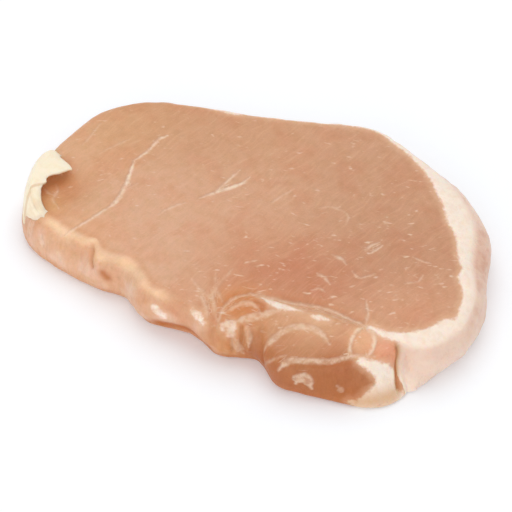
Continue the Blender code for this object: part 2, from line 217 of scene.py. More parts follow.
VEIN, SEAMED, FATTY = StrandKind.VEIN, StrandKind.SEAM, StrandKind.FAT
STRANDS = (
    # The long thread across the folded end, and its side threads
    Strand(VEIN, ((-49.8, -31.3, 14.3), (-46.3, -24.2), (-42.8, -16.3)), (0.25, 0.5), 0.6, True),
    Strand(VEIN, ((-42.8, -16.3), (-42.1, -12.8), (-42.9, -5), (-45.2, 4.4)),
           (0.75, 0.55, 0.35), 0.95, True),
    Strand(VEIN, ((-45.2, 4.4), (-43.1, 10), (-42.8, 15.3), (-41.3, 18)), (0.35, 0.35, 0.45), 0.8, True),
    Strand(VEIN, ((-42.8, -11.5), (-41.7, -7.8), (-39.8, -4.5)), (0.25, 0.18), 0.3),
    Strand(VEIN, ((-62.7, 4), (-62.3, 9.1), (-62.2, 13.5)), (0.29, 0.22), 0.26),
    Strand(VEIN, ((-56, 3), (-53.4, 7.5), (-51.1, 11.2)), (0.22, 0.29), 0.26),
    # Forked threads in the middle of the loin
    Strand(VEIN, ((-19.4, -0.8), (-15.7, 3.9), (-11.3, 9.5), (-10.2, 13)), (0.3, 0.6, 0.25), 0.85, True),
    Strand(VEIN, ((-16.6, 2.4), (-15.5, 8.3), (-14.3, 14.4)), (0.45, 0.22), 0.6, True),
    Strand(VEIN, ((-27.7, -12.6), (-25.7, -8.4), (-23, -5.4)), (0.22, 0.29, 0.18), 0.42),
    Strand(VEIN, ((1.1, 7.3), (2.7, 11.4), (4.1, 14.6)), (0.25, 0.22), 0.3),
    # Strokes of fat between the fibres on the right
    Strand(VEIN, ((14.9, 11.2), (17.5, 12.9), (20.8, 13), (23.9, 11.9), (24.9, 8.8)), (0.22, 0.22), 0.3),
    Strand(VEIN, ((34.7, 1.9), (35.7, 3.9), (36.8, 5.5)), (0.29, 0.43, 0.22), 0.68),
    Strand(VEIN, ((36.5, 1), (37.6, 2.8), (38.3, 4.7)), (0.22, 0.36, 0.18), 0.59),
    Strand(VEIN, ((26.9, -4.9), (29.6, -5.1), (31.5, -6.2)), (0.29, 0.5, 0.22), 0.51),
    Strand(VEIN, ((26.2, -13.6), (28.3, -14.1), (30.4, -15.5)), (0.36, 0.43, 0.22), 0.47),
    Strand(VEIN, ((35.1, -8.4), (37.5, -9.8), (39.4, -8.4), (40.8, -6.7)), (0.18, 0.25), 0.47),
    Strand(VEIN, ((49.1, 4.9), (51.4, 4.6), (53.9, 4.8)), (0.18, 0.29), 0.42),
    Strand(VEIN, ((51.2, -5.7), (54, -3.8), (54.3, -1.1)), (0.18, 0.29), 0.38),
    Strand(VEIN, ((27.3, -19.8), (28.9, -18.6), (30.2, -19)), (0.22, 0.29), 0.42),
    # Curls of skin in the hollow under the fold
    Strand(VEIN, ((-63.2, -13.4), (-61.9, -15.1), (-61.3, -17.7), (-60.9, -19.6), (-57.6, -22.3)),
           (0.29, 0.36, 0.22), 0.42),
    Strand(VEIN, ((-64.8, -16.9), (-63, -17.7), (-61.4, -16.9)), (0.29, 0.22), 0.42),
    # The seam between the loin and the lobe, which splits in two on the right
    Strand(SEAMED, ((7.3, -43.4, 13.8), (6.1, -38.7, 14.6), (7, -32.9), (11.3, -28.6)),
           (0.32, 0.32, 0.4), 0.52, True),
    Strand(SEAMED, ((11.3, -28.6), (21, -26.8), (33.5, -24.1), (41.9, -24.9), (46.4, -24.8)),
           (0.4, 0.32, 0.24, 0.32), 0.56, True),
    Strand(SEAMED, ((19.5, -29.9), (27.3, -27.5), (32.2, -25.8), (36.4, -25.8), (41, -26.5),
                    (45.6, -25.6)), (0.32, 0.24, 0.24), 0.38, True),
    Strand(FATTY, ((14.8, -28.6), (18.5, -29.2), (22, -29.2), (27.5, -28.3)), (0.5, 1.6, 1.4, 0.2), 0.85),
    Strand(FATTY, ((30.8, -28.9), (33, -28.4), (35.8, -28.2)), (0.3, 0.9, 0.3), 0.6),
    Strand(SEAMED, ((46.6, -24.6), (45.6, -20.8), (43.5, -17.4)), (0.36, 0.28, 0.2), 0.52, True),
    Strand(SEAMED, ((46.1, -25.6), (45.1, -30), (46, -34.5), (47.5, -37.2, 14.6)),
           (0.6, 0.5, 0.45), 0.7, True),
    Strand(SEAMED, ((47.2, -25.5), (51.2, -28.6), (52.4, -33.2), (52.1, -35.7, 14.5)),
           (0.7, 0.5, 0.45), 0.75, True),
    # Arcs of white skin round the muscles of the lobe
    Strand(SEAMED, ((29.3, -47.3, 9.6), (31.4, -44.9, 12.2), (36.7, -43, 12.9), (42.4, -40.9, 13.4),
                    (47.6, -37.4, 14.3), (53.4, -34.8, 14.6)), (0.9, 0.9, 0.8, 0.7, 0.6, 0.6), 0.6),
    Strand(SEAMED, ((22.4, -43.6, 10.4), (24.2, -39.8, 13.2), (26.6, -35.6, 14.4), (30.4, -33.1),
                    (35.3, -32.9), (39.6, -35.4, 14.4)), (0.8, 0.9, 0.9, 0.9, 0.6), 0.5),
    Strand(VEIN, ((23.7, -45.3, 6.8), (26.6, -45.6, 11), (29.3, -44, 12.3)), (0.29, 0.29), 0.42),
    # Threads that fan out of the loin where the loose roll starts
    Strand(VEIN, ((-2.3, -35.9), (0.8, -38.6), (2.9, -41.7)), (0.4, 0.7), 0.34),
    Strand(VEIN, ((0.4, -33.1), (3.1, -37.4), (5.5, -41)), (0.4, 0.7), 0.34),
    Strand(VEIN, ((-6.6, -32), (-1.7, -34.8), (2.3, -35.8)), (0.4, 0.5), 0.22),
    Strand(VEIN, ((2, -23.4), (0.9, -30.7), (0.9, -36.4)), (0.3, 0.5), 0.26),
    Strand(VEIN, ((-1.7, -26.7), (0.8, -31.5), (4.1, -34.7)), (0.3, 0.5), 0.24),
    # The fat at the front corner, which narrows into the seams
    Strand(FATTY, ((48, -25.3), (53, -26.4), (57.5, -25.6), (62, -23.6), (66, -20.6),
                   (69.5, -15.5)), (0.5, 1.1, 1.6, 2.2, 2.8, 3.2), 1.4, True),
    # The cream lump on the lobe's end, beside the crevice
    Strand(FATTY, ((50.6, -37.3, 14), (54.2, -36.6, 12.6), (57.6, -35.4, 9.5), (58.6, -37, 5.5),
                   (54.6, -41.8, 1.6)), (0.9, 1.7, 3.0, 3.8, 2.9), 1.4),
    # Scraps of fat on the front
    Strand(VEIN, ((34.9, -47.6, 6.4), (35.4, -47, 8), (37.6, -46.4, 8.4), (38.9, -46, 5.6)),
           (1.3, 1.7, 1.7, 1.3), 0.55),
    Strand(VEIN, ((46.6, -43.2, 6.6), (47.6, -42.6, 5.4)), (0.9, 0.9), 0.3),
    Strand(FATTY, ((-13.6, -43.6, 11), (-11.2, -43.4, 9.2)), (1.3, 1.5), 0.55),
    Strand(FATTY, ((-2, -41.9, 14.2), (0.6, -42.5, 14.1), (2.9, -43.6, 13.2)), (0.4, 1.1, 0.6), 0.55),
    Strand(VEIN, ((-58.4, -31.8, 9.6), (-57.7, -32.4, 7.2)), (0.9, 1), 0.42),
    Strand(FATTY, ((9.2, -42.6, 13.8), (10.6, -41.6, 13.8), (11.4, -43, 12.6)), (1.3, 1.7, 1.3), 0.66),
    Strand(VEIN, ((11.6, -39.6), (15, -36.8), (18.2, -34.4), (21.4, -31.6)), (0.9, 1.3, 1.1, 0.5), 0.5),
    Strand(VEIN, ((12.4, -42.9, 11.4), (13.3, -43.6, 8.8), (14.9, -42.4, 5.2)), (1, 1.4, 1), 0.55),
    Strand(VEIN, ((14.6, -39.8, 14), (16.3, -40.9, 12.4), (16.9, -41.8, 9.2)), (0.7, 1, 0.7), 0.45),
    Strand(VEIN, ((7.6, -37.6), (9.6, -34.4), (13.2, -32.8), (16, -33.6)), (0.5, 0.8, 0.5), 0.4),
    # The thin fat along the foot of the lobe's end
    Strand(FATTY, ((62.6, -34.8, 1.4), (61.2, -36.6, 2.4), (59.8, -39, 2.2), (56, -42.2, 1.8),
                   (51.0, -44.0, 2.2)), (1.6, 2.2, 2.4, 2.2, 1.2), 0.9),
    # Torn skin below the folded fat
    Strand(VEIN, ((-63.9, -28.7, 11.4), (-64.3, -29.4, 8.6), (-65, -29.8, 5.6)), (0.5, 0.9, 0.5), 0.34),
    Strand(VEIN, ((-62, -28.6, 12.4), (-62.6, -29.8, 9.4), (-62.9, -30.4, 6.6)), (0.4, 0.7, 0.4), 0.34),
)  # fmt: skip


class Groove(NamedTuple):
    """A dent along a line, darkened with painted shade; the ones with no depth only tint thin fat yellower.
    Below nought it is a ridge.
    """

    knots: tuple[tuple[float, float, float], ...]
    reach: float
    depth: float
    shade_and_tint: float


GROOVES = (
    # Between the cream lump and the fat end, with painted shade in the crevice
    Groove(((58.3, -28, 14.4), (58.9, -29.1, 12.5), (59.6, -30.7, 10.8), (60.4, -32.4, 8.2),
            (61.2, -33.8, 5.8), (62.0, -34.7, 2.0)), 0.9, 0.9, 0.85),
    # Where two bundles part at the belly edge, with painted shade in the notch and the pit
    Groove(((-40.6, -32.2, 15), (-39.2, -34.2, 13.4), (-38.4, -36.4, 10.4)), 0.7, 0.8, 0.6),
    Groove(((-34.6, -37, 10.2), (-33, -37.2, 8.8)), 1.4, 0.4, 0.8),
    # The undercut below the front edge, darkened with painted shade
    Groove(((-13, -43, 2.8), (-8.6, -42.8, 3.8), (-4.2, -42.6, 4.8), (0, -43.2, 4.8),
            (3.2, -44.6, 3.2)), 2.6, 0.9, 1.0),
    # The curled folds of tissue between the roll and the side, and the ridges they run into, with painted
    # shade in the dents between them
    Groove(((8.4, -40.8, 14.2), (10.6, -42.8, 12.4), (11.4, -44.4, 7)), 0.9, -0.9, 0),
    Groove(((12.4, -40.6, 14), (13.4, -42.8, 12), (13.4, -43.8, 5)), 0.8, -0.8, 0),
    Groove(((14.4, -39.4, 14.2), (16.4, -40.9, 12.6), (16.9, -42.2, 7)), 0.8, -0.8, 0),
    Groove(((5.6, -43.6, 13.4), (6.6, -45.4, 10.6), (7, -45.6, 5)), 1, 0.5, 0.25),
    Groove(((10, -42.8, 13.6), (12.2, -44.2, 9.6), (12.4, -44.2, 5)), 0.6, 0.5, 0.5),
    Groove(((13.8, -40.6, 14), (15, -42.6, 10.6), (15.2, -43, 6)), 0.6, 0.5, 0.5),
    # The pocket at the top of the roll, darkened with painted shade
    Groove(((14, -31.4, 15.6), (16.4, -31.6, 15.8), (17, -33.4, 15.6)), 0.8, 0.5, 0.6),
    # The deep foot of the roll, and of the side before it, darkened with painted shade
    Groove(((2, -44.6, 1.6), (8, -45.2, 1.8), (14, -43.4, 1.8), (19, -42, 2)), 1.8, 0.2, 0.55),
    Groove(((-34, -37.4, 1.4), (-24, -38.6, 1.6), (-15, -43, 2)), 1.5, 0.2, 0.4),
    # The yellower scraps on the roll
    Groove(((8.4, -41.5, 13.6), (11, -42.6, 12), (12.8, -43.2, 8)), 2.8, 0, 0.34),
    # The yellower foot of the lobe's end
    Groove(((51, -43.8, 2.6), (57.5, -41, 3.2), (61, -37, 3.2)), 3.4, 0, 0.6),
    # The tag of torn fat on the rear rim
    Groove(((47.4, 41.4, 13.4), (49, 42.6, 11.6)), 1, -1.7, 0),
    # Between the loose roll and the lobe, painted shade in the gap
    Groove(((19.2, -38.6, 14.2), (20.8, -41.8, 11), (22.4, -44.2, 7.2)), 1.2, 1, 0.35),
    # Under the folded fat, painted shade in the hollow
    Groove(((-62.6, -11.6, 14.4), (-65, -15, 14.2), (-64.4, -20.5, 14.6), (-61, -25, 15)),
           2.2, 0.4, 0.48),
)  # fmt: skip


class Tone(NamedTuple):
    """A soft patch of colour in the lean meat. Its place on the lower cut face is the same."""

    x: float
    y: float
    z: float
    reach: float
    colour: str
    weight: float = 1.0


TOP_Z = 15.5
SIDE_Z = 6.0
UNDERSIDE = 0.6  # points below it take the tone of the cut face above them
LEAN = "#d29d7a"  # where no tone is near
LEAN_WEIGHT = 0.35
TONES = (
    Tone(-58, 8, TOP_Z, 9, "#d9a374"),  # a yellow cast near the fold
    Tone(-61, -14, TOP_Z, 4.5, "#cb864c", 1.8),  # painted shade in the hollow under the fold
    Tone(-60.5, -22.5, TOP_Z, 3, "#dfa566", 2),
    Tone(-52, 20, TOP_Z, 10, "#d09a6c"),
    Tone(-30, -12, TOP_Z, 16, "#deae8d"),  # the pale middle of the loin
    Tone(-46, -26, TOP_Z, 7, "#dfa97c"),  # the yellower belly
    Tone(-22, 28, TOP_Z, 14, "#cd9870"),
    Tone(-8, 6, TOP_Z, 12, "#d8a684"),
    Tone(24, 26, TOP_Z, 14, "#ca9672"),  # a duller, denser patch at the rear
    Tone(44, 6, TOP_Z, 13, "#c48c68"),
    Tone(22, -19, TOP_Z, 9, "#c67d56", 1.6),  # the red patch above the seam
    Tone(4, -14, TOP_Z, 8, "#cf9069"),
    Tone(56, -14, TOP_Z, 8, "#d89c77"),
    Tone(30, -37, TOP_Z, 7, "#e2b187", 2.4),  # the lobe
    Tone(11, -34, TOP_Z, 4.4, "#d4884a", 2.6),  # the loose roll
    Tone(49, -31, TOP_Z, 3, "#edb68c", 2.4),  # the pale cell at its end
    Tone(56.5, -31, 14, 2.6, "#e8a584", 3),  # the wedge beside the crevice
    Tone(30, -46, SIDE_Z, 7, "#af6226", 6),  # the lobe's dark front
    Tone(44, -44, SIDE_Z, 6, "#b2672c", 6),
    Tone(13, -43, SIDE_Z, 4, "#d99c63", 2),
    Tone(19.5, -42.5, SIDE_Z, 2.6, "#a6561f", 3),  # painted shade in the gap beside the roll
    Tone(-8, -43, SIDE_Z, 6, "#e0a680"),
    Tone(-30, -38, SIDE_Z, 9, "#e9bf9e"),
    Tone(-52, -34, SIDE_Z, 9, "#ecbc98"),
    Tone(-72, 0, SIDE_Z, 14, "#dfb08a"),
)
# The front edge from the fold to the waist, where a painted highlight lies along the shoulder, as shares of
# the outline
HIGHLIGHT_EDGE = ((0.596, 0.0), (0.608, 1.0), (0.735, 1.0), (0.752, 0.0))


class Patch(NamedTuple):
    """A soft round patch of something, seen from above."""

    x: float
    y: float
    reach: float
    amount: float

    def at(self, points: np.ndarray) -> np.ndarray:
        """How much of it there is at each point."""
        gap = (points[:, 0] - self.x) ** 2 + (points[:, 1] - self.y) ** 2
        return self.amount * np.exp(-0.5 * gap / self.reach**2)


# Where the lean is flecked with fat
MARBLING = (
    Patch(44, -6, 17, 1),
    Patch(18, -20, 13, 0.75),
    Patch(34, 14, 14, 0.45),
    Patch(4, -34, 8, 0.8),
    Patch(-20, -6, 22, 0.3),
)
SILVER_END = Patch(68.0, 14.0, 14.0, 0.4)  # where silverskin is thickest
FAT_EDGE = 0.6  # mm over which fat fades into lean, to each side
FAT_SHOWS = 0.4  # a strand of fat is this much weaker than its strength


class Fold(NamedTuple):
    """A section through the folded fat, with heights above the cut face."""

    along: float
    lip: float
    rise: float
    crest: float
    proud: float
    thick: float


FOLDS = (
    Fold(0.520, 4.2, -2.6, -2, -0.9, 0.8),
    Fold(0.528, 4.2, 0.3, 0.7, 0.2, 1.3),
    Fold(0.533, 8.8, 0.8, 1.4, 0.7, 1.5),
    Fold(0.538, 11.7, 1, 1.7, 0.9, 1.6),
    Fold(0.543, 10.2, 1.2, 1.8, 0.9, 1.6),
    Fold(0.550, 7.8, 1.2, 1.8, 0.7, 1.7),
    Fold(0.557, 6, 1, 1.7, 0.4, 1.7),
    Fold(0.566, 5.3, 0.9, 1.5, 0, 1.7),
    Fold(0.578, 4.6, 0.7, 1.2, -0.1, 1.5),
    Fold(0.589, 3.9, 0.2, 0.6, -0.2, 1.3),
    Fold(0.600, 3.8, -0.9, -0.4, -0.4, 1),
    Fold(0.616, 4.4, -2.6, -2, -1, 0.8),
)
# Where the fold's lower piece overlaps its upper one, along against across: start and slope
FOLD_LINE = (0.80, -0.29)


def linear(colour: str) -> tuple[float, float, float, float]:
    """Turns an sRGB hex colour to linear light.

    Args:
        colour: the colour as #rrggbb.

    Returns:
        Red, green, blue and an alpha of one.
    """
    parts = [int(colour[i : i + 2], 16) / 255 for i in (1, 3, 5)]
    red, green, blue = (c / 12.92 if c <= 0.04045 else ((c + 0.055) / 1.055) ** 2.4 for c in parts)
    return red, green, blue, 1.0


def blended(colours: np.ndarray, share: np.ndarray, towards: str) -> np.ndarray:
    """Moves colours towards one other.

    Args:
        colours: linear red, green and blue, a row for each point.
        share: how far each goes, from 0 to 1.
        towards: the other colour, as #rrggbb.

    Returns:
        The new rows.
    """
    return colours + share[:, None] * (np.array(linear(towards)[:3]) - colours)


def closed_spline(knots: np.ndarray, per_span: int) -> np.ndarray:
    """Samples a smooth closed curve through knots.

    Args:
        knots: one row for each knot.
        per_span: points from one knot to the next.

    Returns:
        One row for each sampled point.
    """
    knots = np.asarray(knots, float)
    p0, p1, p2, p3 = (np.roll(knots, shift, axis=0)[:, None, :] for shift in (1, 0, -1, -2))
    t = (np.arange(per_span) / per_span)[None, :, None]
    points = 0.5 * (
        2 * p1
        + (p2 - p0) * t
        + (2 * p0 - 5 * p1 + 4 * p2 - p3) * t**2
        + (3 * p1 - p0 - 3 * p2 + p3) * t**3
    )
    return points.reshape(-1, knots.shape[1])


def open_spline(knots: np.ndarray, per_span: int) -> np.ndarray:
    """Samples a smooth curve from the first knot to the last.

    Args:
        knots: one row for each knot.
        per_span: points from one knot to the next.

    Returns:
        One row for each sampled point.
    """
    knots = np.asarray(knots, float)
    led = np.vstack([2 * knots[0] - knots[1], knots, 2 * knots[-1] - knots[-2]])
    return closed_spline(led, per_span)[per_span : per_span * len(knots) + 1]


def bezier(start: np.ndarray, corner: np.ndarray, end: np.ndarray, steps: int) -> list[np.ndarray]:
    """Draws the curve from start to end that leans towards the corner.

    Args:
        start: points, a row for each curve.
        corner: as many points.
        end: as many points.
        steps: steps from start to end.

    Returns:
        The rows at each step, from start to end.
    """
    return [
        (1 - t) ** 2 * start + 2 * t * (1 - t) * corner + t**2 * end
        for t in np.linspace(0, 1, steps + 1)
    ]


def outward_normals(points: np.ndarray) -> np.ndarray:
    """Works out the way out of a closed outline.

    Args:
        points: the outline's x and y, anticlockwise.

    Returns:
        A unit vector at each point.
    """
    along = np.roll(points, -1, axis=0) - np.roll(points, 1, axis=0)
    out = np.stack([along[:, 1], -along[:, 0]], axis=1)
    return out / np.linalg.norm(out, axis=1, keepdims=True)


def nearest_on(points: np.ndarray, line: np.ndarray) -> tuple[np.ndarray, np.ndarray, np.ndarray]:
    """Finds each point's nearest place on an open line.

    Args:
        points: rows of two or three coordinates.
        line: rows of as many, from end to end.

    Returns:
        The distance, the stretch's number plus the share of it passed, and the way from the line
        to the point.
    """
    starts, spans = line[:-1], np.diff(line, axis=0)
    away = points[:, None, :] - starts[None]
    share = np.clip((away * spans).sum(axis=2) / (spans**2).sum(axis=1), 0, 1)
    off = away - share[..., None] * spans
    gaps = np.linalg.norm(off, axis=2)
    best = gaps.argmin(axis=1)
    rows = np.arange(len(points))
    return gaps[rows, best], best + share[rows, best], off[rows, best]


def in_blocks(
    work: Callable[[np.ndarray], np.ndarray], points: np.ndarray, size: int = 4000
) -> np.ndarray:
    """Runs an array function on a few thousand rows at a time, to spare memory.

    Args:
        work: the function, which takes rows and returns as many.
        points: all the rows.
        size: rows in a block.

    Returns:
        The function's results, joined.
    """
    return np.concatenate([work(points[i : i + size]) for i in range(0, len(points), size)])


def eased(low: float, high: float, value: np.ndarray) -> np.ndarray:
    """Rises smoothly from 0 at low to 1 at high."""
    t = np.clip((value - low) / (high - low), 0, 1)
    return t * t * (3 - 2 * t)


def per_mm(sizes: tuple[float, ...]) -> tuple[float, ...]:
    """The scales of a pattern from its sizes in mm."""
    return tuple(1 / size for size in sizes)


def bell(away: np.ndarray, reach: float) -> np.ndarray:
    """Falls smoothly from 1 at nought, past about a third at the reach."""
    return np.exp(-((away / reach) ** 2))


def rippled(ripples: tuple[Ripple, ...], points: np.ndarray) -> np.ndarray:
    """The height at each point of several ripples together, in mm."""
    return sum(ripple.at(points) for ripple in ripples)


def hoop_faces(size: int, hoops: int) -> Faces:
    """Makes the quads between each closed ring of points and the next.

    Args:
        size: points in a ring.
        hoops: how many rings there are.

    Returns:
        The faces. They face out if the rings run anticlockwise and each next one is above.
    """
    return [
        (first + i, first + (i + 1) % size, first + size + (i + 1) % size, first + size + i)
        for first in range(0, size * (hoops - 1), size)
        for i in range(size)
    ]


def in_scene(made: bpy.types.Object) -> bpy.types.Object:
    """Puts an object in the scene, and gives it back."""
    bpy.context.scene.collection.objects.link(made)
    return made


@dataclass
class Sheet:
    """Points in mm and their faces."""

    points: np.ndarray
    faces: Faces

    def normals(self) -> np.ndarray:
        """Works out which way the surface faces, from the faces round each point.

        Returns:
            The unit normal at each point.
        """
        total = np.zeros_like(self.points)
        for size in (3, 4):
            picked = np.array([face for face in self.faces if len(face) == size], int).reshape(-1, size)
            corners = self.points[picked]
            facing = np.cross(corners[:, 1] - corners[:, 0], corners[:, -1] - corners[:, 0])
            for column in picked.T:
                np.add.at(total, column, facing)
        return total / np.maximum(np.linalg.norm(total, axis=1, keepdims=True), 1e-9)

    def to_object(self, name: str, shift: np.ndarray, paint: Paint) -> bpy.types.Object:
        """Makes the sheet an object.

        Args:
            name: the object's name.
            shift: from the sketch to the part's frame, in mm.
            paint: four numbers for each point, under the name of each attribute.

        Returns:
            The object, smooth-shaded and in the scene.
        """
        mesh = bpy.data.meshes.new(name)
        mesh.from_pydata(((self.points + shift) * MM).tolist(), [], self.faces)
        mesh.shade_smooth()
        for key, values in paint.items():
            layer = mesh.attributes.new(key, "FLOAT_COLOR", "POINT")
            layer.data.foreach_set("color", np.ascontiguousarray(values, np.float32).ravel())
        return in_scene(bpy.data.objects.new(name, mesh))


@dataclass
class Outline:
    """The edge of the cut face, at even spacing, with the side below it."""

    step: float = 0.6

    def __post_init__(self) -> None:
        """Works out the evenly spaced rows: x, y, shoulder, girth, foot and a cleft's notch."""
        fine = closed_spline(np.array(STATIONS), SPLINE_STEPS)
        looped = np.vstack([fine, fine[:1]])
        travelled = np.concatenate([[0.0], np.cumsum(np.hypot(*np.diff(looped[:, :2], axis=0).T))])
        length = float(travelled[-1])
        self.count = round(length / self.step)
        wanted = np.arange(self.count) * length / self.count
        rows = np.stack([np.interp(wanted, travelled, column) for column in looped.T], axis=1)
        notch = np.zeros(self.count)
        for cleft in CLEFTS:
            away = np.hypot(rows[:, 0] - cleft.x, rows[:, 1] - cleft.y)
            notch += cleft.depth * bell(away, cleft.width)
        self.rows = np.column_stack([rows, notch])
        self.out = outward_normals(rows[:, :2])

    def share(self) -> np.ndarray:
        """How far round the outline each row is, from 0 to 1."""
        return np.arange(self.count) / self.count


def face_height(x: np.ndarray, y: np.ndarray) -> np.ndarray:
    """Works out the upper cut face, crowned and dented.

    Args:
        x: the points' way along the slice.
        y: the points' way across it.

    Returns:
        The height at each point.
    """
    height = THICKNESS + CROWN * (1 - (x / HALF_LENGTH) ** 2 - (y / HALF_WIDTH) ** 2)
    for s in SWELLINGS:
        spread = ((x - s.x) / s.reach_x) ** 2 + ((y - s.y) / s.reach_y) ** 2
        height = height + s.height * np.exp(-0.5 * spread)
    seam = open_spline(np.array(SEAM), SEAM_STEPS)
    gap = in_blocks(lambda rows: nearest_on(rows, seam)[0], np.stack([x, y], axis=1))
    return height - FURROW_DEPTH * bell(gap, FURROW_WIDTH)


def side_out(rows: np.ndarray, share: np.ndarray) -> np.ndarray:
    """How far the side stands past the edge.

    Args:
        rows: the outline's rows.
        share: the height up the side, 0 at the bottom and 1 at the top.

    Returns:
        The distance in mm, for each row.
    """
    girth, foot, notch = rows[:, 3:6].T
    near_foot = foot * (1 - share) * (GIRTH_AT - share) / GIRTH_AT
    near_girth = girth * share * (1 - share) / (GIRTH_AT * (1 - GIRTH_AT))
    return near_foot + near_girth - notch * share


@dataclass(frozen=True)
class SideTones:
    """The side's own tones over the lean: milky patches, a painted warm shade along the foot, and a painted
    highlight along the edge in front.
    """

    side: tuple[float, float] = (0.0, -3.0)  # way in from the edge over which the side sets in
    milky: str = "#efcfbb"
    milky_share: float = 0.6
    milky_left: tuple[float, float] = (14.0, 4.0)  # x over which the patches set in
    milky_rear: tuple[float, float] = (-10.0, 0.0)  # y over which they do at the right
    milky_above: tuple[float, float] = (1.0, 6.0)  # z over which they do
    milky_where: Ripple = Ripple(1.0, 6.5, 41.0)
    milky_from: tuple[float, float] = (-0.1, 0.5)  # the ripple's height there
    warm: str = "#cd8148"
    # Painted warm shade along the foot of the side, in the warm colour above
    foot_shade_share: float = 0.5
    foot_shade_below: tuple[float, float] = (5.0, 0.5)
    line_share: float = 0.3  # a warm line inside the pale edge
    line_at: float = 3.5
    line_reach: float = 0.8
    # Painted highlight along the front shoulder, where it catches the light
    highlight_colour: str = "#fbd9b4"
    highlight_share: float = 0.85
    highlight_at: float = 0.9
    highlight_reach: float = 1.3
    highlight_wander: Ripple = Ripple(0.9, 4.0, 53.0)
    highlight_where: Ripple = Ripple(1.0, 5.0, 29.0)
    highlight_from: tuple[float, float] = (-0.35, 0.3)

    def over(
        self, lean: np.ndarray, points: np.ndarray, share: np.ndarray, inward: np.ndarray
    ) -> np.ndarray:
        """Lays the tones over the lean.

        Args:
            lean: linear red, green and blue at each point.
            points: the points.
            share: how far round the outline each is.
            inward: how far in from the edge each is.

        Returns:
            The colours with the tones over them.
        """
        x, y, z = points.T
        side = eased(*self.side, inward) * (z > 0)
        left_or_rear = np.maximum(eased(*self.milky_left, x), eased(*self.milky_rear, y))
        patches = eased(*self.milky_from, self.milky_where.at(points)) * eased(*self.milky_above, z)
        colour = blended(lean, self.milky_share * side * left_or_rear * patches, self.milky)
        # Painted warm shade towards the foot of the side
        colour = blended(colour, self.foot_shade_share * side * eased(*self.foot_shade_below, z), self.warm)
        front = np.interp(share, *np.array(HIGHLIGHT_EDGE).T)
        line = np.exp(-0.5 * ((inward - self.line_at) / self.line_reach) ** 2)
        colour = blended(colour, self.line_share * front * line, self.warm)
        # The painted highlight along the front shoulder, broken into patches
        front *= 0.5 + 0.5 * eased(*self.highlight_from, self.highlight_where.at(points))
        off = inward - self.highlight_at - self.highlight_wander.at(points)
        edge = self.highlight_share * front * np.exp(-0.5 * (off / self.highlight_reach) ** 2)
        return blended(colour, edge, self.highlight_colour)


